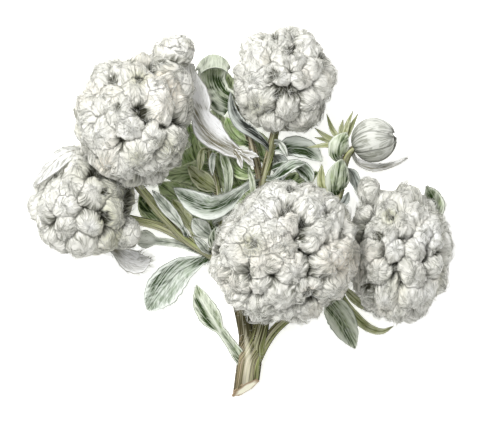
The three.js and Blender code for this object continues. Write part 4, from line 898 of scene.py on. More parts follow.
# The front head, the largest, in front of the stems: small ruffled domes with pointed locks. Its
# stalk rises behind it, and one side is pressed flat where the right-hand head is near.
FRONT_TO_RIGHT = (0.929, -0.02, -0.37)
build_head("woolly_head_front", {
    "spots": [
        (8.0, 3.8), (3.5, 2.1), (11.5, 1.8), (8.0, -1.4), (1.1, -0.3), (14.6, -1.1), (7.2, -5.3),
        (1.9, -4.6), (12.0, -3.8), (17.0, -6.2), (-1.8, -6.9), (3.5, -8.2), (8.3, -9.1), (14.1, -8.2),
        (-0.8, -11.2), (2.9, -11.5), (6.6, -13.4), (10.9, -13.0), (15.2, -12.0), (-3.4, -9.8),
        (-1.8, -14.4), (3.2, -15.8), (7.5, -16.6), (11.7, -16.0), (-1.6, -3.0), (18.1, -2.7),
        (15.4, 1.6), (4.5, 4.6), (11.8, 4.5), (18.2, -9.9), (5.3, -3.0),
    ],
    "centre": (7.0, -6.1, 15.4), "half": (11.9, 11.8, 11.4), "capitula": 62, "seed": 11,
    "pressed": [(FRONT_TO_RIGHT, 11.0)], "flatter": [((-0.78, 0.62, 0.1), 9.0)], "ruffle": 1.25,
    "pits": [
        (8.0, 4.0, 0.9, 0.5), (7.8, 1.4, 0.8, 0.5), (9.9, -4.0, 0.8, 0.5), (11.2, -13.1, 1.5, 0.9),
        (13.9, 0.0, 1.0, 0.7), (8.6, -17.3, 0.9, 0.5), (1.9, -4.8, 1.2, 0.8),
    ],
    "smooth": [
        (3.5, 1.0, 4.5, 0.03), (15.0, -4.0, 4.0, 0.02), (12.0, 3.0, 3.5, 0.03), (8.0, 1.5, 4.0, 0.02),
    ],
    "olive": [(1.9, -4.8, 1.6, 0.8)], "cream": [(16.0, -7.5, 3.0, 0.8), (11.2, -12.6, 0.9, 0.9)],
    "grey": [
        (-1.5, -12.0, 4.5, 0.17), (5.2, -8.8, 1.2, 0.35), (8.4, -12.4, 1.2, 0.35),
        (14.4, -10.7, 2.0, 0.3), (8.0, 4.0, 0.6, 1.0), (9.0, 3.6, 0.5, 0.6), (8.4, -0.4, 1.2, 0.3),
        (5.0, -16.0, 4.0, 0.1), (-1.1, -9.7, 1.3, 0.25), (3.5, -16.3, 1.4, 0.25), (9.4, -2.4, 1.5, 0.4),
        (18.0, -6.0, 1.4, 0.2), (5.2, 1.0, 4.6, -0.34), (13.0, 1.0, 3.2, -0.26), (-1.4, 0.2, 3.0, -0.2),
        (15.8, -6.4, 2.4, -0.25), (8.4, -9.2, 1.6, -0.2), (5.3, -10.6, 1.3, 0.35),
        (11.6, -8.8, 1.5, 0.3), (1.2, -9.0, 1.6, 0.2),
    ],
}, cells=72, hairs=4800, tuft_share=0.6)

# The upper left head: larger, softer domes, and three round knobs of wool that stand out at its
# upper right. It sits on the longer stalk of the left-hand branch, above the left head.
UPPER_TO_LEFT = (-0.497, -0.763, -0.414)
build_head("woolly_head_upper_left", {
    "spots": [
        (-18.9, 23.2), (-22.9, 21.6), (-15.8, 23.5), (-10.7, 21.9), (-12.0, 17.4), (-16.6, 20.3),
        (-25.3, 17.4), (-21.8, 18.4), (-19.2, 16.2), (-25.3, 14.2), (-22.2, 12.0), (-17.4, 13.3),
        (-13.4, 12.0), (-9.6, 11.4), (-16.0, 8.8), (-21.1, 7.8), (-13.4, 6.6), (-18.6, 6.2),
        (-10.9, 9.1), (-24.5, 11.4), (-8.3, 18.1), (-12.8, 20.6),
    ],
    "centre": (-17.0, 14.7, 14.8), "half": (9.4, 10.6, 9.2), "capitula": 42, "seed": 23,
    "pressed": [(UPPER_TO_LEFT, 8.7)],
    "knobs": [
        ((-10.5, 25.6, 13.8), (3.0, 2.5, 2.6)), ((-12.1, 23.2, 14.2), (2.8, 2.5, 2.6)),
        ((-10.4, 20.3, 14.2), (2.7, 2.9, 2.6)),
    ],
    "ruffle": 1.0,
    "pits": [
        (-19.4, 17.0, 0.9, 0.5), (-20.2, 21.6, 1.3, 0.7), (-16.0, 16.2, 1.4, 1.0),
        (-16.0, 21.3, 0.9, 0.5), (-12.3, 13.6, 0.8, 0.5),
    ],
    "smooth": [(-11.0, 18.5, 4.0, 0.03), (-20.5, 13.5, 4.0, 0.02), (-14.0, 20.0, 3.0, 0.02)],
    "olive": [(-16.0, 21.3, 1.6, 0.6), (-11.4, 10.4, 1.8, 0.5), (-16.3, 8.8, 1.3, 0.4)],
    "cream": [(-11.5, 20.0, 3.5, 0.7), (-21.6, 7.7, 1.3, 0.8)],
    "grey": [
        (-13.9, 23.2, 0.9, 0.6), (-12.4, 24.0, 0.9, 0.7), (-10.6, 24.3, 0.9, 0.7),
        (-8.9, 23.8, 0.9, 0.6), (-14.2, 15.2, 1.2, 0.3), (-9.8, 12.4, 1.6, 0.2),
        (-17.6, 10.4, 1.4, 0.2), (-11.0, 9.6, 1.6, 0.22), (-13.2, 7.0, 1.4, 0.16),
        (-8.4, 16.6, 0.8, 0.35), (-17.0, 23.6, 1.0, 0.2), (-13.2, 19.6, 3.4, -0.34),
        (-17.8, 12.8, 2.8, -0.3), (-22.2, 12.4, 2.0, -0.24), (-21.8, 18.4, 2.8, -0.24),
        (-12.9, 12.6, 1.8, -0.26), (-17.0, 14.0, 10.0, 0.07), (-25.6, 15.8, 1.6, 0.25),
        (-20.6, 14.8, 1.2, 0.2), (-10.6, 26.8, 1.4, -0.3), (-24.6, 9.4, 1.6, 0.2),
    ],
}, cells=64, hairs=3800)

# The left head: the largest and smoothest domes, like small eggs, with dark creases between them
# and one knob of wool at its lower right. It is one of the three that the sprig rests on.
build_head("woolly_head_left", {
    "spots": [
        (-26.1, 7.8), (-23.0, 3.4), (-19.2, -0.2), (-30.7, 4.0), (-27.8, 1.1), (-23.8, -2.4),
        (-28.2, -2.7), (-31.8, 0.5), (-32.0, -2.4), (-25.4, -6.2), (-20.8, -5.3), (-18.2, -4.0),
        (-19.4, 4.0), (-29.9, -5.1), (-27.2, 4.6),
    ],
    "centre": (-25.2, 1.8, 7.8), "half": (8.5, 9.4, 8.6), "capitula": 30, "seed": 37, "rests": True,
    "pressed": [((0.497, 0.763, 0.414), 7.8), ((-0.75, 0.57, 0.34), 6.6)],
    "knobs": [((-18.0, -3.1, 9.0), (1.9, 2.2, 2.0))], "ruffle": 0.6, "soft": 0.03, "stir": 0.2,
    "pits": [(-21.3, -0.8, 1.3, 0.9), (-21.4, 3.4, 0.9, 0.6)],
    "olive": [(-20.0, -4.3, 2.6, 0.6), (-21.3, -0.8, 1.4, 0.7), (-18.5, 3.0, 3.0, 0.5)],
    "grey": [
        (-25.1, 2.4, 1.1, 0.45), (-23.2, 7.2, 1.6, 0.5), (-30.6, -1.1, 1.2, 0.45),
        (-25.8, -4.6, 0.9, 0.4), (-18.4, 3.4, 2.4, 0.4), (-19.3, -2.2, 1.4, 0.3),
        (-27.0, -6.0, 1.3, 0.3), (-20.6, 6.2, 1.2, 0.4), (-25.0, 2.0, 9.0, 0.12),
        (-27.8, 1.3, 1.7, -0.4), (-23.8, -2.2, 1.6, -0.4), (-23.2, 4.2, 1.6, -0.35),
        (-31.0, 1.0, 1.6, -0.3), (-26.6, 8.2, 1.4, -0.25), (-28.8, -3.4, 1.6, 0.2),
        (-20.8, -5.0, 1.4, -0.2),
    ],
}, cells=60, hairs=2500, tuft_share=0.2)

# The top head: rounded domes of wool with dark star-shaped openings between them, at the end of
# the green stem. The sprig rests on it too.
build_head("woolly_head_top", {
    "spots": [
        (1.8, 25.1), (5.4, 28.3), (7.0, 26.1), (11.4, 27.4), (9.4, 24.5), (12.3, 23.5), (1.9, 21.3),
        (5.9, 21.9), (10.1, 21.3), (13.9, 19.7), (2.4, 17.3), (7.8, 15.8), (12.0, 17.6), (-0.6, 22.6),
        (-0.3, 19.0), (4.8, 13.6), (10.9, 13.9),
    ],
    "centre": (6.9, 21.4, 7.6), "half": (8.2, 8.8, 8.5), "capitula": 30, "seed": 41, "rests": True,
    "ruffle": 0.85, "stir": 0.16,
    "pits": [
        (5.3, 22.1, 1.4, 0.9), (8.0, 26.1, 1.1, 0.7), (5.6, 28.3, 0.9, 0.6), (2.6, 16.9, 0.7, 0.4),
    ],
    "olive": [(2.7, 17.0, 1.6, 0.5)],
    "grey": [
        (2.6, 25.6, 2.2, -0.3), (10.8, 26.4, 2.2, -0.25), (7.6, 20.8, 2.4, -0.3),
        (2.2, 20.6, 1.8, -0.25), (12.4, 16.6, 2.4, 0.22), (0.6, 15.6, 1.8, 0.2),
        (13.8, 21.0, 1.4, 0.15),
    ],
}, cells=60, hairs=2900)

# The right head: small domes of wool with painted shade at the left, and a small bud of wool at
# its upper left that is grey with painted shade. It ends the long right-hand stalk, and the sprig
# rests on it.
build_head("woolly_head_right", {
    "spots": [
        (18.7, 0.8), (25.9, 3.0), (23.0, 0.8), (28.8, 0.8), (17.9, -1.9), (21.0, -2.4), (23.8, -3.2),
        (26.2, -1.4), (29.4, -2.9), (19.7, -6.2), (24.8, -5.9), (28.3, -5.9), (31.8, -4.8),
        (21.9, -9.6), (27.7, -9.9), (31.5, -8.8), (23.2, -14.2), (27.5, -14.2), (19.0, -12.6),
        (30.4, -13.3), (25.3, -16.8), (31.5, -1.4), (22.4, 3.7),
    ],
    "centre": (25.4, -6.5, 8.0), "half": (8.5, 11.0, 8.8), "capitula": 44, "seed": 53, "rests": True,
    "pressed": [((-0.929, 0.02, 0.37), 8.5)], "knobs": [((20.5, 3.4, 9.4), (1.7, 2.1, 1.7))],
    "ruffle": 1.1,
    "pits": [
        (21.9, -3.5, 1.3, 0.8), (31.4, -6.2, 1.0, 0.7), (20.0, -11.8, 1.0, 0.6), (23.8, -0.3, 1.1, 0.7),
    ],
    "olive": [(23.8, -0.3, 1.5, 0.7)],
    "grey": [
        (21.0, -11.6, 3.4, 0.22), (18.8, -3.0, 2.6, 0.25), (20.4, 4.2, 1.8, 0.35),
        (28.6, -2.0, 3.0, -0.32), (31.6, -4.4, 2.6, -0.35), (24.4, -5.4, 1.8, -0.35),
        (30.2, -12.8, 2.6, -0.35), (23.0, 0.6, 1.8, -0.25), (27.6, -2.6, 1.0, 0.5),
        (30.2, -9.2, 1.3, 0.3), (23.0, -13.6, 1.5, -0.3), (33.2, -9.0, 1.8, -0.3),
    ],
}, cells=66, hairs=3800, tuft_share=0.5)

# The leaves: thin soft blades with felt on both sides, a sunk midrib, slanting veins and a pale,
# slightly toothed margin. Each grows out of the stem and is darkest at its foot.
BLADE_FULLNESS = 0.8  # under 1, a blade keeps its width nearer to its ends
STALK_FADE = 0.2  # how far the leaf stalk runs on under the blade, as a share of the length
MARGIN_LEAD = 0.6  # how far the waves of the right margin are ahead, in half waves
FELT_MIDDLE = 0.34  # felt and blade together, in millimetres
FELT_MARGIN = 0.14
RIB_WIDTH = 0.13
RIB_DEPTH = 0.14
VEIN_HEIGHT = 0.035
VEIN_SLANT = 0.8
FOOT_DARK = 0.95
UNDER_PALE = 0.45
LEAF_HAIR_THICKNESS = (0.016, 0.028)
ROW_STEP = 0.28
COLUMNS = 18

felt_look, enter, leave = shader_group(
    "felt_look",
    [
        ("Place", "Vector", (0, 0, 0)), ("Felt", "Vector", (0, 0, 0)), ("Deep", "Color", (0, 0, 0, 1)),
        ("Middle", "Color", (0, 0, 0, 1)), ("Pale", "Color", (0, 0, 0, 1)), ("Veined", "Float", 1.0),
    ],
    [("Color", "Color"), ("Height", "Float")],
)
place, veined = enter.outputs["Place"], enter.outputs["Veined"]
deep, middle, pale = (enter.outputs[name] for name in ("Deep", "Middle", "Pale"))
split = add(felt_look, "SeparateXYZ", {0: place})
edge = add(felt_look, "SeparateXYZ", {0: enter.outputs["Felt"]})
from_rib = figure(felt_look, "ABSOLUTE", split.outputs[0])
mirrored = add(felt_look, "CombineXYZ", {0: from_rib, 1: split.outputs[1], 2: split.outputs[2]})
mirrored = mirrored.outputs[0]
veins = group_node(felt_look, fibres, {"Place": mirrored, "Fineness": 2.6, "Draw": 0.5, "Slant": -0.5})
hatch = group_node(felt_look, fibres, {"Place": place, "Fineness": 5.0, "Draw": 0.3, "Slant": 0.12})
tone = blend(felt_look, spread(felt_look, veins["Mottle"], 0, 1, 0.05, 0.6), middle, pale)
tone = blend(felt_look, figure(felt_look, "MULTIPLY", hatch["Lines"], 0.45), tone, pale)
# The second number of "Felt" darkens toward Deep: the dark foot, dark halves, dusk and dark marks, with
# painted shade and shadow among them. The third pales toward Pale: the paler underside and pale marks,
# with painted highlight among them.
gap = figure(felt_look, "MULTIPLY", figure(felt_look, "SUBTRACT", 1.0, veins["Lines"]), veined)
dim = figure(felt_look, "MULTIPLY", gap, 0.5)
dim = figure(felt_look, "ADD", dim, figure(felt_look, "MULTIPLY", edge.outputs[1], 1.15))
dim = figure(felt_look, "MULTIPLY", dim, spread(felt_look, hatch["Lines"], 0, 1, 1.15, 0.4))
tone = blend(felt_look, dim, tone, deep)
rib = figure(felt_look, "MULTIPLY", spread(felt_look, from_rib, 0.05, 0.16, 0.6, 0.0), veined)
tone = blend(felt_look, rib, tone, deep)
margin = figure(felt_look, "ADD", edge.outputs[0], figure(felt_look, "MULTIPLY", veins["Lines"], 0.12))
tone = blend(felt_look, spread(felt_look, margin, 0.74, 0.96, 0.0, 0.95), tone, pale)
tone = blend(felt_look, edge.outputs[2], tone, pale)
rim = spread(felt_look, edge.outputs[0], 0.93, 0.99, 0.0, 0.62)
felt_look.links.new(blend(felt_look, rim, tone, deep), leave.inputs["Color"])
height = figure(felt_look, "ADD", figure(felt_look, "MULTIPLY", veins["Lines"], 0.6), hatch["Lines"])
felt_look.links.new(height, leave.inputs["Height"])


def felt_material(name, deep, middle, pale):
    """A felted leaf skin in three tones of its colour."""
    made, tree, shader = new_material(name, 0.92)
    look = group_node(tree, felt_look, {
        "Place": attribute(tree, "place"), "Felt": attribute(tree, "felt"),
        "Veined": attribute(tree, "veined", "Fac"),
        "Deep": paint(*deep), "Middle": paint(*middle), "Pale": paint(*pale),
    })
    tree.links.new(look["Color"], shader.inputs["Base Color"])
    relief(tree, shader, look["Height"], 0.06 * MM)
    return made


FELTS = {
    "silver_leaf": felt_material("silver_felt", (48, 64, 36), (162, 176, 154), (230, 235, 228)),
    "sage_leaf": felt_material("sage_felt", (44, 62, 28), (156, 170, 130), (224, 229, 214)),
    "dark_leaf": felt_material("dark_felt", (36, 54, 20), (142, 172, 98), (218, 228, 190)),
    "yellow_green_leaf": felt_material("yellow_felt", (80, 88, 44), (156, 162, 106), (216, 218, 188)),
    "pale_felt": felt_material("pale_felt", (58, 68, 54), (180, 188, 172), (234, 237, 230)),
    "grey_felt": felt_material("grey_felt", (46, 50, 46), (118, 124, 118), (206, 211, 206)),
    "woolly_bract": felt_material("bract_felt", (118, 114, 92), (234, 235, 232), (250, 250, 251)),
}


def leaf_frame(leaf, along):
    """The middle line of a leaf, with its ways forward, across and up."""
    line = spine_through(leaf["spine"], along)
    ahead = spine_through(leaf["spine"], np.minimum(along + 0.004, 1))
    behind = spine_through(leaf["spine"], np.maximum(along - 0.004, 0))
    forward = unit(ahead - behind)
    if "across" in leaf:
        across = unit(leaf["across"] - forward * (forward @ leaf["across"])[:, None])
    else:
        across = unit(np.cross(forward, unit(np.array(leaf.get("face", (0, 0, 1)), float))))
    return line, forward, across, np.cross(across, forward)


def leaf_length(leaf):
    """The length of a leaf along its middle line, in millimetres."""
    return np.linalg.norm(np.diff(leaf["spine"], axis=0), axis=1).sum()


def half_width(leaf, along):
    """How far the margin is from the midrib at each share of the length."""
    stalk = leaf["stalk"]
    peak = math.log(0.5) / math.log(leaf.get("widest", 0.5))
    on_blade = np.clip((along - stalk[0]) / (1 - stalk[0]), 0, 1)
    blade = leaf["half"] * np.sin(math.pi * on_blade**peak) ** BLADE_FULLNESS
    foot = np.where(along < stalk[0] + STALK_FADE, stalk[1], 0)
    width = np.maximum(np.maximum(blade, foot), leaf.get("blunt", 0.06))
    for at, more, size in leaf.get("lobes", ()):
        width = width + more * np.exp(-(((along - at) / size) ** 2))
    return width


def leaf_skin(leaf, along, share, side, seed):
    """Points on the upper (1) or under (-1) skin of a leaf, with the way out of it."""
    line, forward, across, up = leaf_frame(leaf, along)
    width = half_width(leaf, along)
    teeth = grain(np.stack((along * 26 + 40 * (share > 0), 0 * along + seed, 0 * along), -1)) - 0.5
    edge_width = width * (1 + leaf.get("ragged", 0.1) * teeth * share**2)
    bend = leaf.get("cup", 0.4)
    angle = share * bend
    radius = edge_width / bend
    height, count, start = leaf.get("wave", (0, 1, 0))
    phase = math.pi * (2 * count * along + start + np.where(share > 0, MARGIN_LEAD, 0))
    ripple = height * width / leaf["half"] * share**2 * np.sin(phase)
    half_felt = (FELT_MIDDLE + (FELT_MARGIN - FELT_MIDDLE) * share**2) / 2
    from_rib = np.abs(share) * width
    groove = RIB_DEPTH * np.exp(-((from_rib / RIB_WIDTH) ** 2)) * np.minimum(1, width / 0.8)
    veins = VEIN_HEIGHT * np.sin((along * leaf_length(leaf) - VEIN_SLANT * from_rib) * 5.5)
    lift = half_felt * side - groove + veins * (1 - share**2) * np.minimum(1, width)
    out = across * (-np.sin(angle))[:, None] + up * np.cos(angle)[:, None]
    points = line + across * (radius * np.sin(angle))[:, None]
    points = points + up * (radius * (1 - np.cos(angle)) + ripple)[:, None] + out * lift[:, None]
    bow = (1 - np.sqrt(1 - 0.95 * share**2)) * (eased(along, 0.4, 0.7) - 0.4 * eased(along, 0.8, 1))
    points[:, 1] -= leaf.get("arch", 0) * bow
    return points, out * np.reshape(side, (-1, 1)), width


def sheet_faces(rows, columns):
    """The faces of a closed blade: its upper grid, its under one after that, and its four rims."""
    under = rows * columns
    faces = [grid_faces(rows, columns)[:, ::-1], grid_faces(rows, columns, under)]
    row, column = np.arange(rows) * columns, np.arange(columns)
    for k, rim in enumerate((row, row + columns - 1, column, (rows - 1) * columns + column)):
        a, b = rim[:-1], rim[1:]
        quads = np.stack((a, b, b + under, a + under), -1)
        faces.append(quads if k in (0, 3) else quads[:, ::-1])
    return faces


def leaf_blade(leaf, seed):
    """The points, faces and stored values of one closed leaf."""
    length = leaf_length(leaf)
    rows = max(12, int(length / ROW_STEP))
    even = np.linspace(0, 1, rows)
    along, share = np.meshgrid(even, np.sin(np.linspace(-1, 1, COLUMNS) * math.pi / 2), indexing="ij")
    along, share = along.ravel(), share.ravel()
    points, places, felts = [], [], []
    for side in (1, -1):
        skin, _, width = leaf_skin(leaf, along, share, side, seed)
        points.append(skin)
        places.append(np.stack((share * width, along * length, 0 * along + seed * 3.3), -1))
        shade = FOOT_DARK * (1 - eased(along, 0.0, leaf.get("foot_shade", 0.36)))
        dark_left, dark_right = leaf.get("dark", (0, 0))
        shade = shade + np.where(share < 0, dark_left, dark_right) * eased(np.abs(share), 0.05, 0.3)
        shade = shade * (1 - 0.7 * eased(along, 0.7, 1.0)) + leaf.get("dusk", 0)
        # The felt's paleness: its own paler underside, and the pale marks.
        pale_and_highlight = np.full(len(along), UNDER_PALE if side < 0 else 0.0)
        # Marks: some are the leaf's own dark or pale lines, others painted shade, painted shadow and
        # painted highlight.
        for x, y, size, strength, *end in leaf.get("marks", ()):
            reach = np.array(end or (x, y)) - (x, y)
            away = skin[:, :2] - (x, y)
            part = np.clip(away @ reach / max(reach @ reach, 1e-9), 0, 1)
            marked = near(away - part[:, None] * reach, 0, 0, size)
            shade = shade + max(strength, 0) * marked
            pale_and_highlight = pale_and_highlight + max(-strength, 0) * marked
        rim = np.maximum(np.abs(share), 1 - (1 - along) * length / 0.9)
        felts.append(np.clip(np.stack((rim, shade, pale_and_highlight), -1), 0, 1))
    faces = sheet_faces(rows, COLUMNS)
    return np.concatenate(points), faces, np.concatenate(places), np.concatenate(felts)


def leaf_hairs(leaf, seed, shaggy):
    """Fine pale hairs on a leaf: short ones over its skin and longer ones along its margin."""
    draw = np.random.default_rng(seed)
    count = int(leaf_length(leaf) * (9 + 6 * leaf["half"]) * (0.5 + shaggy))
    along = draw.uniform(0.05, 1, count)
    at_margin = draw.random(count) < 0.4
    margin = draw.choice((-1, 1), count) * draw.uniform(0.9, 1, count)
    share = np.where(at_margin, margin, draw.uniform(-0.9, 0.9, count))
    side = np.where(draw.random(count) < 0.8, 1, -1)
    skin, out, _ = leaf_skin(leaf, along, share, side, seed)
    _, forward, across, _ = leaf_frame(leaf, along)
    aside = np.sign(share) * np.where(at_margin, draw.uniform(0.3, 1.1, count), 0.25)
    rise = np.where(at_margin, 0.05, draw.uniform(0.05, 0.3, count))
    way = unit(forward + across * aside[:, None] + out * rise[:, None])
    way = way + draw.normal(0, 0.16, (count, 3))
    size = (draw.uniform(0.35, 0.95, count) * (0.7 + 0.9 * shaggy))[:, None]
    root = skin - out * 0.03
    droop = draw.normal(0, 0.12, (count, 3))
    paths = np.stack([root + way * size * k + droop * size * k * k for k in (0, 0.5, 1)], 1)
    grey = draw.random(count) < 0.35
    root_tone = draw.uniform(0.2, 0.7, count)
    tip_tone = np.where(grey, draw.uniform(0.35, 0.6, count), 0.97)
    return paths, draw.uniform(*LEAF_HAIR_THICKNESS, count), np.stack((root_tone, tip_tone), -1)


def build_leaves(leaves, wool_name, seed):
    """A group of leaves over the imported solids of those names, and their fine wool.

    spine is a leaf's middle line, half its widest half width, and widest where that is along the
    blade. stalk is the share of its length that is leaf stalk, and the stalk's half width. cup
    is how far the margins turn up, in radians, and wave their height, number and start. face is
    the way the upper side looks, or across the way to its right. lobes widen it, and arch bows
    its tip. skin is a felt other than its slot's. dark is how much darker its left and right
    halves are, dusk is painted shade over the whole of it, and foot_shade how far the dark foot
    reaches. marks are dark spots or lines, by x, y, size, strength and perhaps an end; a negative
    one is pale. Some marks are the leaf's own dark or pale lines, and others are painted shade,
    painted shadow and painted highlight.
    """
    hairs = []
    for number, (name, leaf) in enumerate(leaves.items()):
        slot = leaf["felt"]
        points, faces, places, felts = leaf_blade(leaf, seed + number)
        points[:, 2] = np.maximum(points[:, 2], 0)
        veined = np.full(len(points), leaf.get("veins", 1.0))
        values = {"place": places, "felt": felts, "veined": veined}
        blade = mesh_piece(name + "_blade", points, faces, FELTS[leaf.get("skin", slot)], values)
        finished(blade, slot, name)
        hairs.append(leaf_hairs(leaf, seed + number, leaf.get("shaggy", 0.25)))
    paths, thick, tones = (np.concatenate(rows) for rows in zip(*hairs))
    points, faces, share = strands(paths, thick)
    points[:, 2] = np.maximum(points[:, 2], 0)
    values = {"tone": toned(tones, share)}
    finished(mesh_piece(wool_name, points, faces, wool_hair, values), "pale_felt")


# Leaves of the lower stem and of the left-hand branch: felted blades, each grown out of the stalk
# at its foot. Those behind the others get little light, and are flatter and darker, partly with
# painted shade.
BEHIND = {"stalk": (0.1, 0.6), "cup": 0.2, "felt": "dark_leaf"}
build_leaves({
    "lower_left_leaf": {
        "spine": [
            (0.4, -23.9, 2.6), (-1.1, -21.6, 3.2), (-2.6, -19.5, 3.7), (-4.3, -17.3, 4),
            (-5.9, -14.7, 3.9), (-7, -11.6, 3.1),
        ],
        "half": 1.85, "stalk": (0.42, 0.75), "cup": 0.5, "lobes": [(0.1, 0.3, 0.16)],
        "felt": "sage_leaf", "dark": (0.45, 0.1), "foot_shade": 0.06,
        "marks": [
            (-3.9, -19.6, 0.3, 0.9, -6.9, -14.0), (-3.2, -19.0, 0.22, -1, -6.4, -13.6),
            (-1.4, -22.6, 0.35, -0.9, -3.2, -19.6),
        ],
    },
    "broad_left_leaf": {
        "spine": [
            (-4.2, -6.8, 2.6), (-6.6, -7.8, 3.2), (-9.6, -9.3, 3.6), (-12, -11.8, 3.1),
            (-13.6, -13.8, 2.3), (-14.9, -15.6, 1.4),
        ],
        "half": 2.8, "widest": 0.58, "stalk": (0.06, 0.8), "cup": 0.35, "wave": (0.25, 2, 0.2),
        "felt": "silver_leaf", "dark": (0.0, 0.45), "shaggy": 0.5,
    },
    "pale_lobed_leaf": {
        "spine": [(-5.2, -6.5, 2.2), (-9.6, -5, 1.5), (-13.4, -4.5, 1.5), (-17, -3.9, 2)], "half": 1.5,
        "widest": 0.6, "stalk": (0.6, 0.6), "cup": 0.3, "felt": "yellow_green_leaf",
        "skin": "pale_felt",
        "marks": [(-17.2, -3.9, 0.9, -1, -14.6, -4.3), (-16.0, -4.9, 0.25, 0.5, -14.4, -4.6)],
    },
    "left_tuft_leaf": {
        "spine": [
            (-22, -3.6, 3.6), (-20.2, -5.6, 3.5), (-18.2, -7.3, 3.3), (-16.3, -8, 2.9),
            (-14.4, -7.4, 2.3),
        ],
        "half": 2, "widest": 0.55, "stalk": (0.2, 0.9), "cup": 0.7, "felt": "pale_felt",
        "skin": "woolly_bract", "foot_shade": 0.35, "shaggy": 2.2,
        "marks": [(-20.6, -4.8, 0.9, 0.6, -19.6, -6.8), (-18.0, -7.4, 1.6, -0.8, -14.8, -7.4)],
    },
    "left_head_bract": {
        "spine": [(-24.8, 9.9, 10.2), (-27.4, 9.7, 11), (-30.4, 7.4, 10.4), (-33, 4.3, 9)], "half": 1.9,
        "stalk": (0, 0.9), "cup": -0.3, "face": (-0.62, 0.42, 0.66), "felt": "woolly_bract",
        "foot_shade": 0.1, "shaggy": 1.8,
    },
    "stalk_side_leaf": {
        "spine": [
            (-8.5, -4.3, 4.6), (-8.9, -2.9, 6.2), (-10.2, -1, 7.5), (-12.3, 1.5, 9), (-14, 3.6, 10),
        ],
        "half": 1, "widest": 0.6, "stalk": (0.2, 0.4), "felt": "pale_felt",
    },
    "olive_strap_leaf": {
        "spine": [
            (-6.6, -5.6, 3.6), (-7.1, -3.8, 4.5), (-8.2, -1.6, 4.6), (-9.5, 0.4, 4.8),
            (-10.9, 2.2, 4.8),
        ],
        "half": 1.2, "widest": 0.6, "stalk": (0.2, 0.6), "felt": "yellow_green_leaf", "dark": (0.3, 0),
    },
    "back_leaf_junction": {
        **BEHIND, "spine": [(-3.2, -3.2, 2.9), (-4.6, -2.6, 1.7), (-6.8, -1.8, 1.2), (-9.2, -1.1, 1.1)],
        "half": 1.8, "stalk": (0.1, 0.45), "dusk": 0.25,
    },
    "back_leaf_stalks": {
        **BEHIND, "spine": [(-11.4, -2.9, 3.1), (-13, -1.2, 2.4), (-14.8, 0.8, 2.2), (-16.2, 2.9, 2.4)],
        "half": 1.7, "dusk": 0.4,
    },
    "junction_leaf_pale": {
        "spine": [(-3.3, -4.3, 2.8), (-4.8, -3.6, 4.2), (-6.2, -2.5, 5.6), (-7.6, -0.9, 6.3)],
        "half": 1.5, "widest": 0.6, "stalk": (0.2, 0.4), "felt": "pale_felt",
    },
    "junction_leaf_edged": {
        "spine": [(-4.6, -6.3, 3), (-5.3, -6.1, 5.2), (-6.2, -5, 7), (-7.4, -3.8, 7.7)], "half": 0.75,
        "stalk": (0.2, 0.4), "felt": "pale_felt",
    },
    "junction_leaf_dark": {
        "spine": [(-3.1, -5.8, 2.6), (-3.7, -5.4, 4.4), (-3.8, -4, 6), (-3.8, -2.2, 7.2)], "half": 1.4,
        "widest": 0.55, "stalk": (0.15, 0.6), "cup": 0.5, "felt": "sage_leaf", "dusk": 0.5,
    },
}, "left_leaf_wool", 100)

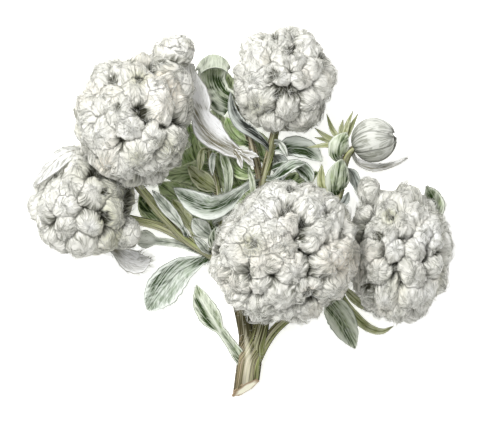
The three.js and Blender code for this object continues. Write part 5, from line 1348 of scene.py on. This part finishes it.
# Leaves of the short middle shoot and of the upper shoot, which fill the room between the heads:
# felted blades again, and a white woolly bract that is folded along its middle.
build_leaves({
    "silver_wavy_leaf": {
        "spine": [
            (3, 5, 3.2), (1.4, 4.5, 5.6), (-0.6, 3, 7.4), (-2.6, 1.6, 8.3), (-5, 1.1, 8.9),
            (-7.8, 2.2, 9.2), (-10.6, 4, 8.6),
        ],
        "half": 2.2, "widest": 0.66, "stalk": (0.05, 0.7), "cup": 0.55, "wave": (0.35, 1.5, 0.3),
        "face": (0, -0.35, 0.94), "felt": "silver_leaf", "veins": 0.8, "dark": (0.2, 0.1),
        "shaggy": 0.5,
        "marks": [
            (-8.4, 2.6, 0.5, 0.5, -5.6, 1.0), (-9.4, 3.2, 0.3, 0.4, -6.6, 0.6),
            (-4.5, 0.8, 0.5, 0.8, -0.4, 2.2), (-10.4, 4.2, 0.4, -1, -6.5, 3.5),
            (-6.5, 3.5, 0.45, -1, -3.2, 2.8), (-3.2, 2.8, 0.45, -1, 1.2, 4.7),
            (-9.4, 1.6, 0.4, -0.9, -6.4, -0.6), (-6.4, -0.6, 0.4, -0.9, -3.5, -0.6),
            (-3.5, -0.6, 0.4, -0.9, -1.0, 1.2),
        ],
    },
    "narrow_crescent_leaf": {
        "spine": [(-3.4, -2.2, 3), (-4.2, -1.4, 5.6), (-2.8, -0.5, 6.4), (-0.8, 0.6, 6.4)], "half": 0.6,
        "widest": 0.55, "stalk": (0.2, 0.35), "face": (-0.3, 0.2, 0.93), "felt": "pale_felt",
    },
    "tall_light_leaf": {
        "spine": [(-3.3, 1.2, 3.4), (-2, 3.6, 4.6), (-1.9, 6.4, 5.4), (-2.6, 9, 5.9), (-3.2, 11, 6)],
        "half": 0.85, "stalk": (0.1, 0.5), "cup": 0.5, "felt": "sage_leaf",
    },
    "hanging_leaf_one": {
        "spine": [(-5, 10.1, 5), (-6, 10.1, 6.3), (-6.3, 8.7, 7.2), (-6.5, 6.6, 7.1)], "half": 0.65,
        "widest": 0.55, "stalk": (0.25, 0.35), "felt": "yellow_green_leaf",
    },
    "hanging_leaf_two": {
        "spine": [(-4.7, 8.4, 4.7), (-4.3, 9.4, 6.3), (-4.5, 8.2, 7.3), (-4.4, 6, 7.2)], "half": 0.55,
        "widest": 0.55, "stalk": (0.25, 0.35), "felt": "pale_felt",
    },
    "broad_olive_leaf": {
        "spine": [(-3.6, 3.6, 3.8), (-4.9, 4.4, 4.8), (-6.6, 5.8, 5.2), (-8.4, 7.6, 4.8)], "half": 1.5,
        "stalk": (0.1, 0.6), "cup": 0.35, "felt": "yellow_green_leaf", "dark": (0.5, 0.2),
    },
    "ragged_dark_leaf": {
        "spine": [(-3.9, 5.2, 3.9), (-5.4, 6.4, 3.1), (-8.2, 6.4, 3), (-12.4, 5.9, 3.2)], "half": 2.0,
        "stalk": (0.1, 0.5), "cup": 0.3, "ragged": 0.4, "felt": "dark_leaf", "dusk": 0.1,
    },
    "back_leaf_left": {
        **BEHIND, "spine": [(-3.4, 2.2, 3.5), (-4.7, 4, 1.3), (-7, 8.2, 0.65), (-8.3, 14.6, 0.65)],
        "half": 3.4, "stalk": (0.1, 1.1), "dusk": 0.12,
    },
    "back_leaf_upper": {
        **BEHIND, "spine": [(-4.7, 8.7, 4.6), (-4.6, 10.2, 2.7), (-4.2, 13.2, 1.9), (-3.6, 17.2, 1.5)],
        "half": 2.6, "dusk": 0.15,
    },
    "back_leaf_low": {
        **BEHIND, "spine": [(-3.3, -0.6, 3.1), (-5.6, -0.1, 2.7), (-9.6, 2.3, 2.4), (-13.2, 4.9, 2.2)],
        "half": 2.9, "cup": 0.15, "dusk": 0.05,
    },
    "back_leaf_middle": {
        **BEHIND, "spine": [(3.2, 1.2, 2.3), (1.2, 2.4, 2), (-0.6, 5.2, 2.2), (-3.4, 11, 2.4)],
        "half": 2.5, "widest": 0.62, "lobes": [(0.5, 0.7, 0.15)], "dusk": 0.15,
    },
    "junction_leaf_back": {
        **BEHIND, "spine": [(-3.2, -3.6, 2.7), (-1.8, -3, 1.5), (-0.9, -1.6, 1.1), (-0.7, 0.2, 1.2)],
        "half": 1.5, "felt": "sage_leaf", "dusk": 0.3,
    },
    "dark_middle_leaf": {
        "spine": [(2.8, 6.6, 3.3), (1.4, 6.5, 4), (-0.2, 7.4, 4), (-1.4, 9.8, 3.8)], "half": 1.8,
        "stalk": (0.15, 0.5), "face": (0, 0.2, 1), "felt": "dark_leaf", "dusk": 0.15,
    },
    "pale_strap_leaf": {
        "spine": [(3.2, 1, 2.4), (2.7, 1.8, 5), (2.2, 3.6, 7.2), (1.9, 5.6, 7.6), (1.3, 7.4, 7.3)],
        "half": 0.6, "stalk": (0.2, 0.5), "face": (-0.5, -0.3, 0.8), "felt": "sage_leaf",
    },
    "white_folded_bract": {
        "spine": [
            (2.3, 9.5, 3.9), (0.6, 9.3, 6.4), (-2.3, 10.7, 8), (-4.9, 13.2, 8.9), (-6.7, 16.6, 9.3),
            (-7.5, 20.4, 9.5), (-8.1, 23.8, 10.6),
        ],
        "half": 2.4, "widest": 0.6, "stalk": (0.05, 0.8), "cup": 0.75, "blunt": 0.8,
        "lobes": [(0.62, -0.6, 0.04), (0.5, 0.3, 0.07), (0.78, 0.3, 0.1)], "felt": "woolly_bract",
        "veins": 0.5, "foot_shade": 0.3, "shaggy": 0.8,
        "marks": [
            (-7.8, 17.8, 0.3, 0.7, -5.4, 16.6), (-4.4, 11.6, 0.9, 0.75, -1.8, 9.9),
            (-3.4, 12.6, 0.25, 0.5, -0.4, 10.4), (-0.8, 9.9, 0.9, 0.8, 1.6, 9.3),
            (-7.4, 16.2, 0.9, 0.7, -4.8, 11.7), (-8.2, 20.6, 1.2, -1, -7.2, 18.8),
            (-5.0, 15.6, 1.0, -1, -3.0, 12.9),
        ],
    },
    "green_upper_leaf": {
        "spine": [(1.9, 10.8, 4.1), (0.2, 11.6, 5), (-1.3, 13.2, 5.5), (-2.2, 15.4, 5.4)], "half": 1.5,
        "stalk": (0.15, 0.5), "felt": "dark_leaf",
    },
    "curled_top_leaf": {
        "spine": [
            (-1.4, 17.2, 5.1), (-3.4, 18.6, 5.1), (-4.5, 21, 5.1), (-4.4, 23.4, 5.6), (-4.3, 25.2, 7.1),
            (-4.2, 24.8, 8.8), (-4.1, 23.2, 9.4),
        ],
        "half": 2.8, "widest": 0.66, "stalk": (0.02, 1.3), "cup": 0.35, "wave": (0.3, 2, 0),
        "across": (1, 0, 0), "arch": 2.3, "blunt": 2.3, "felt": "sage_leaf", "veins": 0.7,
        "marks": [
            (-4.4, 21.6, 0.7, 0.9, -1.8, 20.9), (-3.4, 20.6, 0.6, 0.9, -1.4, 19.6),
            (-6.6, 20.8, 0.4, 0.7, -5.9, 19.4), (-6.2, 19.0, 0.28, 1, -4.4, 18.8),
            (-6.0, 18.0, 0.28, 1, -4.0, 17.7), (-6.0, 20.1, 0.3, 0.9, -4.6, 20.0),
            (-6.4, 19.5, 0.25, -1, -4.2, 19.4), (-6.1, 18.5, 0.25, -1, -4.0, 18.3),
            (-3.8, 18.6, 0.5, -0.7, -3.0, 16.8), (-1.2, 19.0, 0.9, 0.8, -0.8, 16.6),
            (-6.6, 23.0, 0.3, 0.7, -5.0, 24.6), (-6.4, 22.2, 0.25, 0.6, -4.6, 23.6),
            (-3.6, 24.3, 0.25, 0.5, -1.9, 23.2), (-6.2, 24.4, 0.3, 0.6, -4.6, 25.6),
            (-3.9, 25.6, 0.3, 0.55, -2.2, 24.6),
        ],
    },
    "top_back_leaf": {
        **BEHIND, "spine": [(-0.6, 16.6, 4.7), (-2.2, 18.2, 2.9), (-3.6, 21, 2.6), (-4.1, 24.6, 2.8)],
        "half": 2.7, "dusk": 0.2,
    },
    "back_leaf_stems": {
        **BEHIND, "spine": [(4.3, 7.8, 2.9), (3.8, 9, 2), (3.1, 11, 1.8), (2.4, 13.4, 2)], "half": 2,
        "dusk": 0.2,
    },
    "long_head_bract": {
        "spine": [
            (4.9, 9.9, 4.2), (3.9, 11.2, 6), (1.9, 12.9, 7), (-0.2, 14.4, 7.3), (-1.3, 16.6, 7.2),
            (-1.5, 19.4, 7),
        ],
        "half": 1.1, "stalk": (0.1, 0.5), "cup": 0.3, "face": (0.35, 0.35, 0.87), "felt": "grey_felt",
        "veins": 0.2, "dusk": 0.3,
        "marks": [
            (-0.6, 19.0, 0.6, 0.9, -0.5, 16.4), (-0.5, 16.4, 0.6, 1, 1.6, 13.8),
            (1.6, 13.8, 0.6, 1, 4.4, 10.8), (-1.9, 18.4, 0.3, -0.9, -1.7, 15.9),
            (-1.7, 15.9, 0.3, -0.9, 0.0, 13.5), (0.0, 13.5, 0.3, -0.8, 3.4, 10.6),
        ],
    },
}, "middle_leaf_wool", 200)

# The foot of the white bract is torn into three short pale lobes, which bend over the stems.
# They are thin shreds of the same felt, still joined to each other at the tear.
TEAR = (-1.2, 10.2, 7.4)
LOBE_LINES = [
    ((1.2, 9.6, 7.4), (3.0, 9.0, 7.2)), ((1.0, 8.7, 7.5), (2.3, 7.5, 7.1)),
    ((-0.2, 8.9, 7.6), (0.3, 7.1, 7.2)),
]


def blades_in_one(name, blades, seed, felt, *nodes):
    """Small blades that are grown together, as one piece."""
    shells = [leaf_blade(blade, seed + number) for number, blade in enumerate(blades)]
    points, faces, places, felts = joined(shells)
    values = {"place": places, "felt": felts, "veined": np.full(len(points), 0.5)}
    finished(mesh_piece(name, points, faces, FELTS[felt], values), felt, *nodes)


LOBE = {"half": 0.5, "widest": 0.6, "stalk": (0.1, 0.5), "ragged": 0.6, "foot_shade": 0.9, "dusk": 0.2}
lobes = [{**LOBE, "spine": [TEAR, bend, tip]} for bend, tip in LOBE_LINES]
blades_in_one("bract_lobes", lobes, 280, "woolly_bract")

# Leaves on the right: below the top head, on the bud's stalk, and round the right-hand head. They
# are of the same felt, and the two scales on the bud's stalk clasp it.
build_leaves({
    "short_head_bract": {
        "spine": [(5.2, 11.4, 4.6), (6.3, 11.3, 6.6), (7, 10.3, 7.2), (7.6, 9, 7)], "half": 0.5,
        "stalk": (0.2, 0.4), "felt": "pale_felt",
    },
    "shaded_bract": {
        "spine": [(4.6, 9, 3.9), (5.8, 8.8, 2.6), (6.6, 7.2, 2.2), (6.4, 5, 2.2)], "half": 1.6,
        "stalk": (0.2, 0.5), "felt": "grey_felt",
    },
    "back_leaf_right": {
        **BEHIND, "spine": [(3.9, 4.4, 2.8), (6.2, 4.3, 1), (9.2, 4.9, 0.7), (12.6, 6.6, 0.9)],
        "half": 1.9, "cup": 0.1, "dusk": 0.4,
    },
    "rolled_right_leaf": {
        "spine": [
            (5, 10.4, 4.4), (6.8, 10.5, 4.9), (8.6, 10.7, 5), (10.6, 10.3, 4.7), (12.1, 9.3, 4.2),
            (13.2, 8.3, 3.7),
        ],
        "half": 1.8, "widest": 0.4, "stalk": (0.1, 0.5), "cup": 0.7, "felt": "dark_leaf",
        "skin": "silver_leaf", "veins": 0.35,
        "marks": [
            (7.0, 12.0, 0.5, -1, 10.6, 11.6), (10.6, 11.6, 0.5, -1, 12.6, 10.2),
            (12.6, 10.2, 0.45, -1, 13.2, 8.4), (7.0, 10.6, 0.8, 0.9, 10.6, 10.0),
            (10.6, 10.0, 0.7, 0.9, 12.0, 8.6), (8.0, 9.2, 0.6, 0.8, 10.6, 8.6),
        ],
    },
    "folded_right_leaf": {
        "spine": [(4, 5.6, 3.2), (5.2, 5.6, 4.9), (6.8, 6.7, 6), (8.6, 7.8, 6.2), (10.5, 8, 5.7)],
        "half": 1, "widest": 0.55, "stalk": (0.15, 0.45), "cup": 0.8, "felt": "silver_leaf",
        "marks": [(5.0, 5.2, 0.4, 0.9, 7.4, 6.6), (7.4, 6.6, 0.35, 0.8, 10.0, 7.5)],
    },
    "drooping_blue_leaf": {
        "spine": [(4.4, 7, 3.4), (7, 7.9, 3.7), (9.4, 7.6, 3.9), (10.8, 6.3, 3.7), (11.4, 4.7, 3.2)],
        "half": 1.2, "widest": 0.6, "stalk": (0.2, 0.45), "felt": "silver_leaf",
        "marks": [(5.4, 7.2, 0.4, 0.9, 9.4, 7.2), (9.4, 7.2, 0.4, 0.9, 11.0, 5.4)],
    },
    "slim_green_leaf": {
        "spine": [(15, 1.6, 3.7), (13.8, 3, 3.6), (13.1, 5, 3.7), (13.1, 7.8, 3.9)], "half": 0.8,
        "stalk": (0.2, 0.4), "felt": "yellow_green_leaf",
    },
    "bud_scale_lower": {
        "spine": [(15.4, 2.4, 4.2), (15.3, 3.7, 6), (15.7, 5.9, 7.4), (16.3, 8.7, 8.6)], "half": 2.1,
        "stalk": (0.1, 0.8), "cup": -0.75, "felt": "sage_leaf", "veins": 0.9,
        "marks": [
            (17.5, 6.4, 0.4, 0.9, 16.6, 2.6), (14.1, 7.4, 0.3, -1, 14.0, 4.0),
            (15.9, 8.0, 0.18, 0.8, 15.2, 4.0), (14.9, 3.4, 0.7, 0.6, 16.2, 2.4),
            (16.7, 7.2, 0.2, 0.7, 16.2, 3.8),
        ],
    },
    "bud_scale_upper": {
        "spine": [(16.8, 7.9, 6.2), (15.7, 9, 7), (15.9, 10.9, 8.1), (17.1, 12.9, 8.6)], "half": 1.75,
        "stalk": (0.15, 0.6), "cup": -0.6, "felt": "sage_leaf", "veins": 0.9,
        "marks": [
            (18.0, 11.4, 0.35, 0.9, 17.2, 8.4), (14.8, 9.8, 0.35, 0.8, 15.6, 8.4),
            (16.6, 12.0, 0.2, 0.8, 15.6, 9.2), (17.2, 11.6, 0.2, 0.6, 16.4, 8.8),
            (15.4, 11.6, 0.3, -0.9, 14.9, 10.0),
        ],
    },
    "bud_strap_leaf": {
        "spine": [(16.6, 6.8, 5.8), (17.7, 6.7, 5.4), (18.5, 5.2, 4.9), (18.9, 3.2, 4.6)], "half": 0.9,
        "stalk": (0.2, 0.4), "cup": 0.3, "felt": "grey_felt",
    },
    "bud_stub_leaf": {
        "spine": [(15, 1.5, 3.6), (16.3, 1.4, 4.1), (17, 2.2, 4.4), (17.4, 3.4, 4.3)], "half": 0.65,
        "stalk": (0.2, 0.4), "cup": 0.3, "felt": "grey_felt",
    },
    "bud_curled_bract": {
        "spine": [
            (17.9, 9.9, 6.5), (18.7, 8.2, 5.2), (21.3, 7.1, 4.5), (24.5, 7.6, 5.6), (26.8, 8.8, 7.5),
        ],
        "half": 1.05, "widest": 0.4, "stalk": (0.12, 0.5), "cup": 0.6, "face": (0.05, 0.75, 0.65),
        "felt": "pale_felt", "skin": "woolly_bract", "veins": 0.5, "shaggy": 0.8,
        "marks": [(18.4, 7.8, 0.5, 0.7, 20.6, 7.0), (20.6, 7.0, 0.35, 0.6, 25.4, 7.8)],
    },
    "right_head_leaf": {
        "spine": [
            (30, -3.6, 4.8), (31.1, -1.2, 3.9), (31.3, 0.8, 3.7), (30.8, 2.6, 4.2), (29.9, 4.3, 5.2),
        ],
        "half": 1.7, "widest": 0.55, "stalk": (0.1, 0.8), "cup": 0.5, "felt": "sage_leaf",
        "shaggy": 2.0, "marks": [(30.4, 3.2, 0.5, 0.9, 31.2, 0.6)],
    },
    "lower_right_leaf": {
        "spine": [
            (12.6, -13.2, 1.8), (14.3, -14.1, 2.7), (15.8, -16.2, 3.1), (17.2, -18.9, 2.8),
            (18.5, -21.8, 1.7),
        ],
        "half": 2.3, "stalk": (0.12, 0.8), "cup": 0.45, "felt": "sage_leaf", "foot_shade": 0.5,
        "marks": [
            (14.2, -14.6, 0.45, 0.4, 17.6, -20.6), (13.8, -16.4, 0.35, -0.9, 17.0, -20.9),
            (16.4, -15.0, 0.3, -0.9, 19.2, -20.0),
        ],
    },
    "crescent_bract": {
        "spine": [
            (15.3, -11.4, 2.3), (16.7, -13.9, 1.9), (18.6, -16.6, 1.9), (20.6, -18.4, 2),
            (22.8, -19, 2.2), (24.6, -18.2, 2.5),
        ],
        "half": 0.75, "widest": 0.4, "stalk": (0.15, 0.5), "felt": "yellow_green_leaf",
    },
    "olive_bract": {
        "spine": [(15.9, -11, 2.6), (17.4, -12.7, 3.8), (19.2, -14.4, 4), (21.4, -15.9, 3.7)],
        "half": 0.8, "stalk": (0.15, 0.5), "cup": 0.3, "felt": "yellow_green_leaf",
    },
}, "right_leaf_wool", 300)

# The slender sepals below the bud: one spray of thin green blades, grown together at a short foot
# on the stalk.
SEPAL_FORK = (16.6, 11.0, 5.2)
SEPAL_LINES = [
    ((14.9, 13.2, 5.6), (13.9, 15.8, 6.6)), ((13.9, 12.2, 5.9), (12.0, 13.6, 6.8)),
    ((14.4, 11.6, 5.3), (12.0, 12.1, 6.0)), ((14.0, 10.9, 6.1), (10.8, 10.5, 7.0)),
    ((16.2, 13.2, 5.4), (16.5, 14.9, 6.0)), ((17.0, 13.6, 5.7), (18.1, 16.3, 6.4)),
    ((17.6, 13.4, 4.9), (18.9, 15.9, 5.2)),
]
SEPAL_FOOT = {
    "spine": [(17.2, 9.5, 6.2), (16.8, 10.4, 5.4), (16.4, 11.3, 5.2)], "half": 0.5, "widest": 0.55,
    "stalk": (0.1, 0.5), "blunt": 0.4,
}
SEPAL = {"half": 0.45, "widest": 0.35, "stalk": (0.1, 0.35), "cup": 0.3, "foot_shade": 0.3}
sepals = [{**SEPAL, "spine": [SEPAL_FORK, bend, tip]} for bend, tip in SEPAL_LINES]
blades_in_one("sepal_spray", [SEPAL_FOOT, *sepals], 400, "yellow_green_leaf", "bud_sepals")

# The bud: broad satin petals, white with grey veins, that overlap round it like tiles from its
# foot to its tip. They close over a round heart, and the foot grows on the end of the stalk.
BUD_CENTRE = np.array((21.4, 11.7, 7.4))
BUD_HALF = 3.5
BUD_AXIS = unit(np.array((0.96, 0.18, 0.22)))
BUD_PETALS = 7
PETAL_ROWS = 26
PETAL_COLUMNS = 18
PETAL_HALF_THICK = 0.08
HEART_COLUMNS = 32
HEART_HALF = 0.93 * BUD_HALF
PETAL_WHITE = (216, 217, 210)
PETAL_VEIN = (146, 148, 136)
PETAL_SHADE = (78, 82, 66)
PETAL_RIM = (88, 90, 80)

petal_skin, tree, shader = new_material("petal_skin", 0.8)
place = attribute(tree, "place")
petal_veins = group_node(tree, fibres, {"Place": place, "Fineness": 5.5, "Draw": 0.3})
petal_fine = group_node(tree, fibres, {"Place": place, "Fineness": 7.0, "Draw": 0.2})
parts = add(tree, "SeparateXYZ", {0: attribute(tree, "felt")})
vein = spread(tree, petal_veins["Mottle"], 0, 1, 0.32, 1)
vein = figure(tree, "MULTIPLY", petal_veins["Lines"], vein)
tone = blend(tree, spread(tree, vein, 0.15, 1, 0, 0.9), paint(*PETAL_WHITE), paint(*PETAL_VEIN))
dim = figure(tree, "SUBTRACT", 1.15, petal_fine["Lines"])
dim = figure(tree, "MULTIPLY", dim, parts.outputs[1])
tone = blend(tree, dim, tone, paint(*PETAL_SHADE))
rim = spread(tree, parts.outputs[0], 0.9, 0.98, 0.0, 0.55)
tone = blend(tree, rim, tone, paint(*PETAL_RIM))
tree.links.new(tone, shader.inputs["Base Color"])
relief(tree, shader, petal_veins["Lines"], 0.05 * MM)

bud_side = unit(np.cross(BUD_AXIS, (0, 0, 1)))
bud_up = np.cross(bud_side, BUD_AXIS)


def round_bud(lean, angle, out):
    """Points round the bud: by the lean from its foot, the angle round it, and the way out."""
    ring = np.sin(lean)[:, None] * (np.cos(angle)[:, None] * bud_side + np.sin(angle)[:, None] * bud_up)
    return BUD_CENTRE + (ring - np.cos(lean)[:, None] * BUD_AXIS) * np.reshape(out, (-1, 1))


petals = []
for number in range(BUD_PETALS + 1):
    inner = number == BUD_PETALS  # the closed heart of the bud, under the petals
    rows, columns = PETAL_ROWS, HEART_COLUMNS if inner else PETAL_COLUMNS
    across = np.linspace(-1, 1, columns + inner)[:columns]
    v, u = (values.ravel() for values in np.meshgrid(np.linspace(0, 1, rows), across, indexing="ij"))
    if inner:
        layers = [round_bud(math.pi * (0.02 + 0.96 * v), math.pi * u, HEART_HALF)]
        ends = np.arange(columns)[None]
        faces = [grid_faces(rows, columns, closed=True), ends[:, ::-1], ends + (rows - 1) * columns]
    else:
        wide = 0.95 * np.sin(math.pi * v**0.75) ** 0.55
        lean = math.pi * (0.03 + 0.87 * v + 0.02 * (1 - u * u))
        angle = 2 * math.pi * number / BUD_PETALS + u * wide * 0.95 + 0.5 * v
        out = BUD_HALF * (0.985 + 0.03 * u + 0.03 * v**6) + 0.05 * np.sin(u * 9) * v * (1 - v)
        layers = [round_bud(lean, angle, out + side * PETAL_HALF_THICK) for side in (1, -1)]
        faces = [quads[:, ::-1] for quads in sheet_faces(rows, columns)]
    x, y, _ = (layers[0] - BUD_CENTRE).T
    # Painted shade: at the bud's foot, along one edge of each petal, on the bud's lower side and upper
    # edge, and in the slit where two petals part.
    shade = 1 - eased(v, 0.05, 0.6) + 0.55 * eased(-u, 0.55, 1) * (not inner)
    shade = shade + 0.3 * eased(-y / BUD_HALF, 0.1, 0.9) + 0.3 * eased(y / BUD_HALF, 0.7, 1)
    shade = shade + 0.9 * np.exp(-(((x - 2.6) / 1.2) ** 2) - ((y - 0.5) / 0.3) ** 2)
    place = np.stack((u * 3.0, v * 9.0, 0 * u + number * 4.7), -1)
    felt = np.stack((np.abs(u), shade, 0 * u), -1)
    repeats = (len(layers), 1)
    petals.append((np.concatenate(layers), faces, np.tile(place, repeats), np.tile(felt, repeats)))
points, faces, places, felts = joined(petals)
bud = mesh_piece("bud_petals", points, faces, petal_skin, {"place": places, "felt": felts})
finished(bud, "bud_petal", "flower_bud")
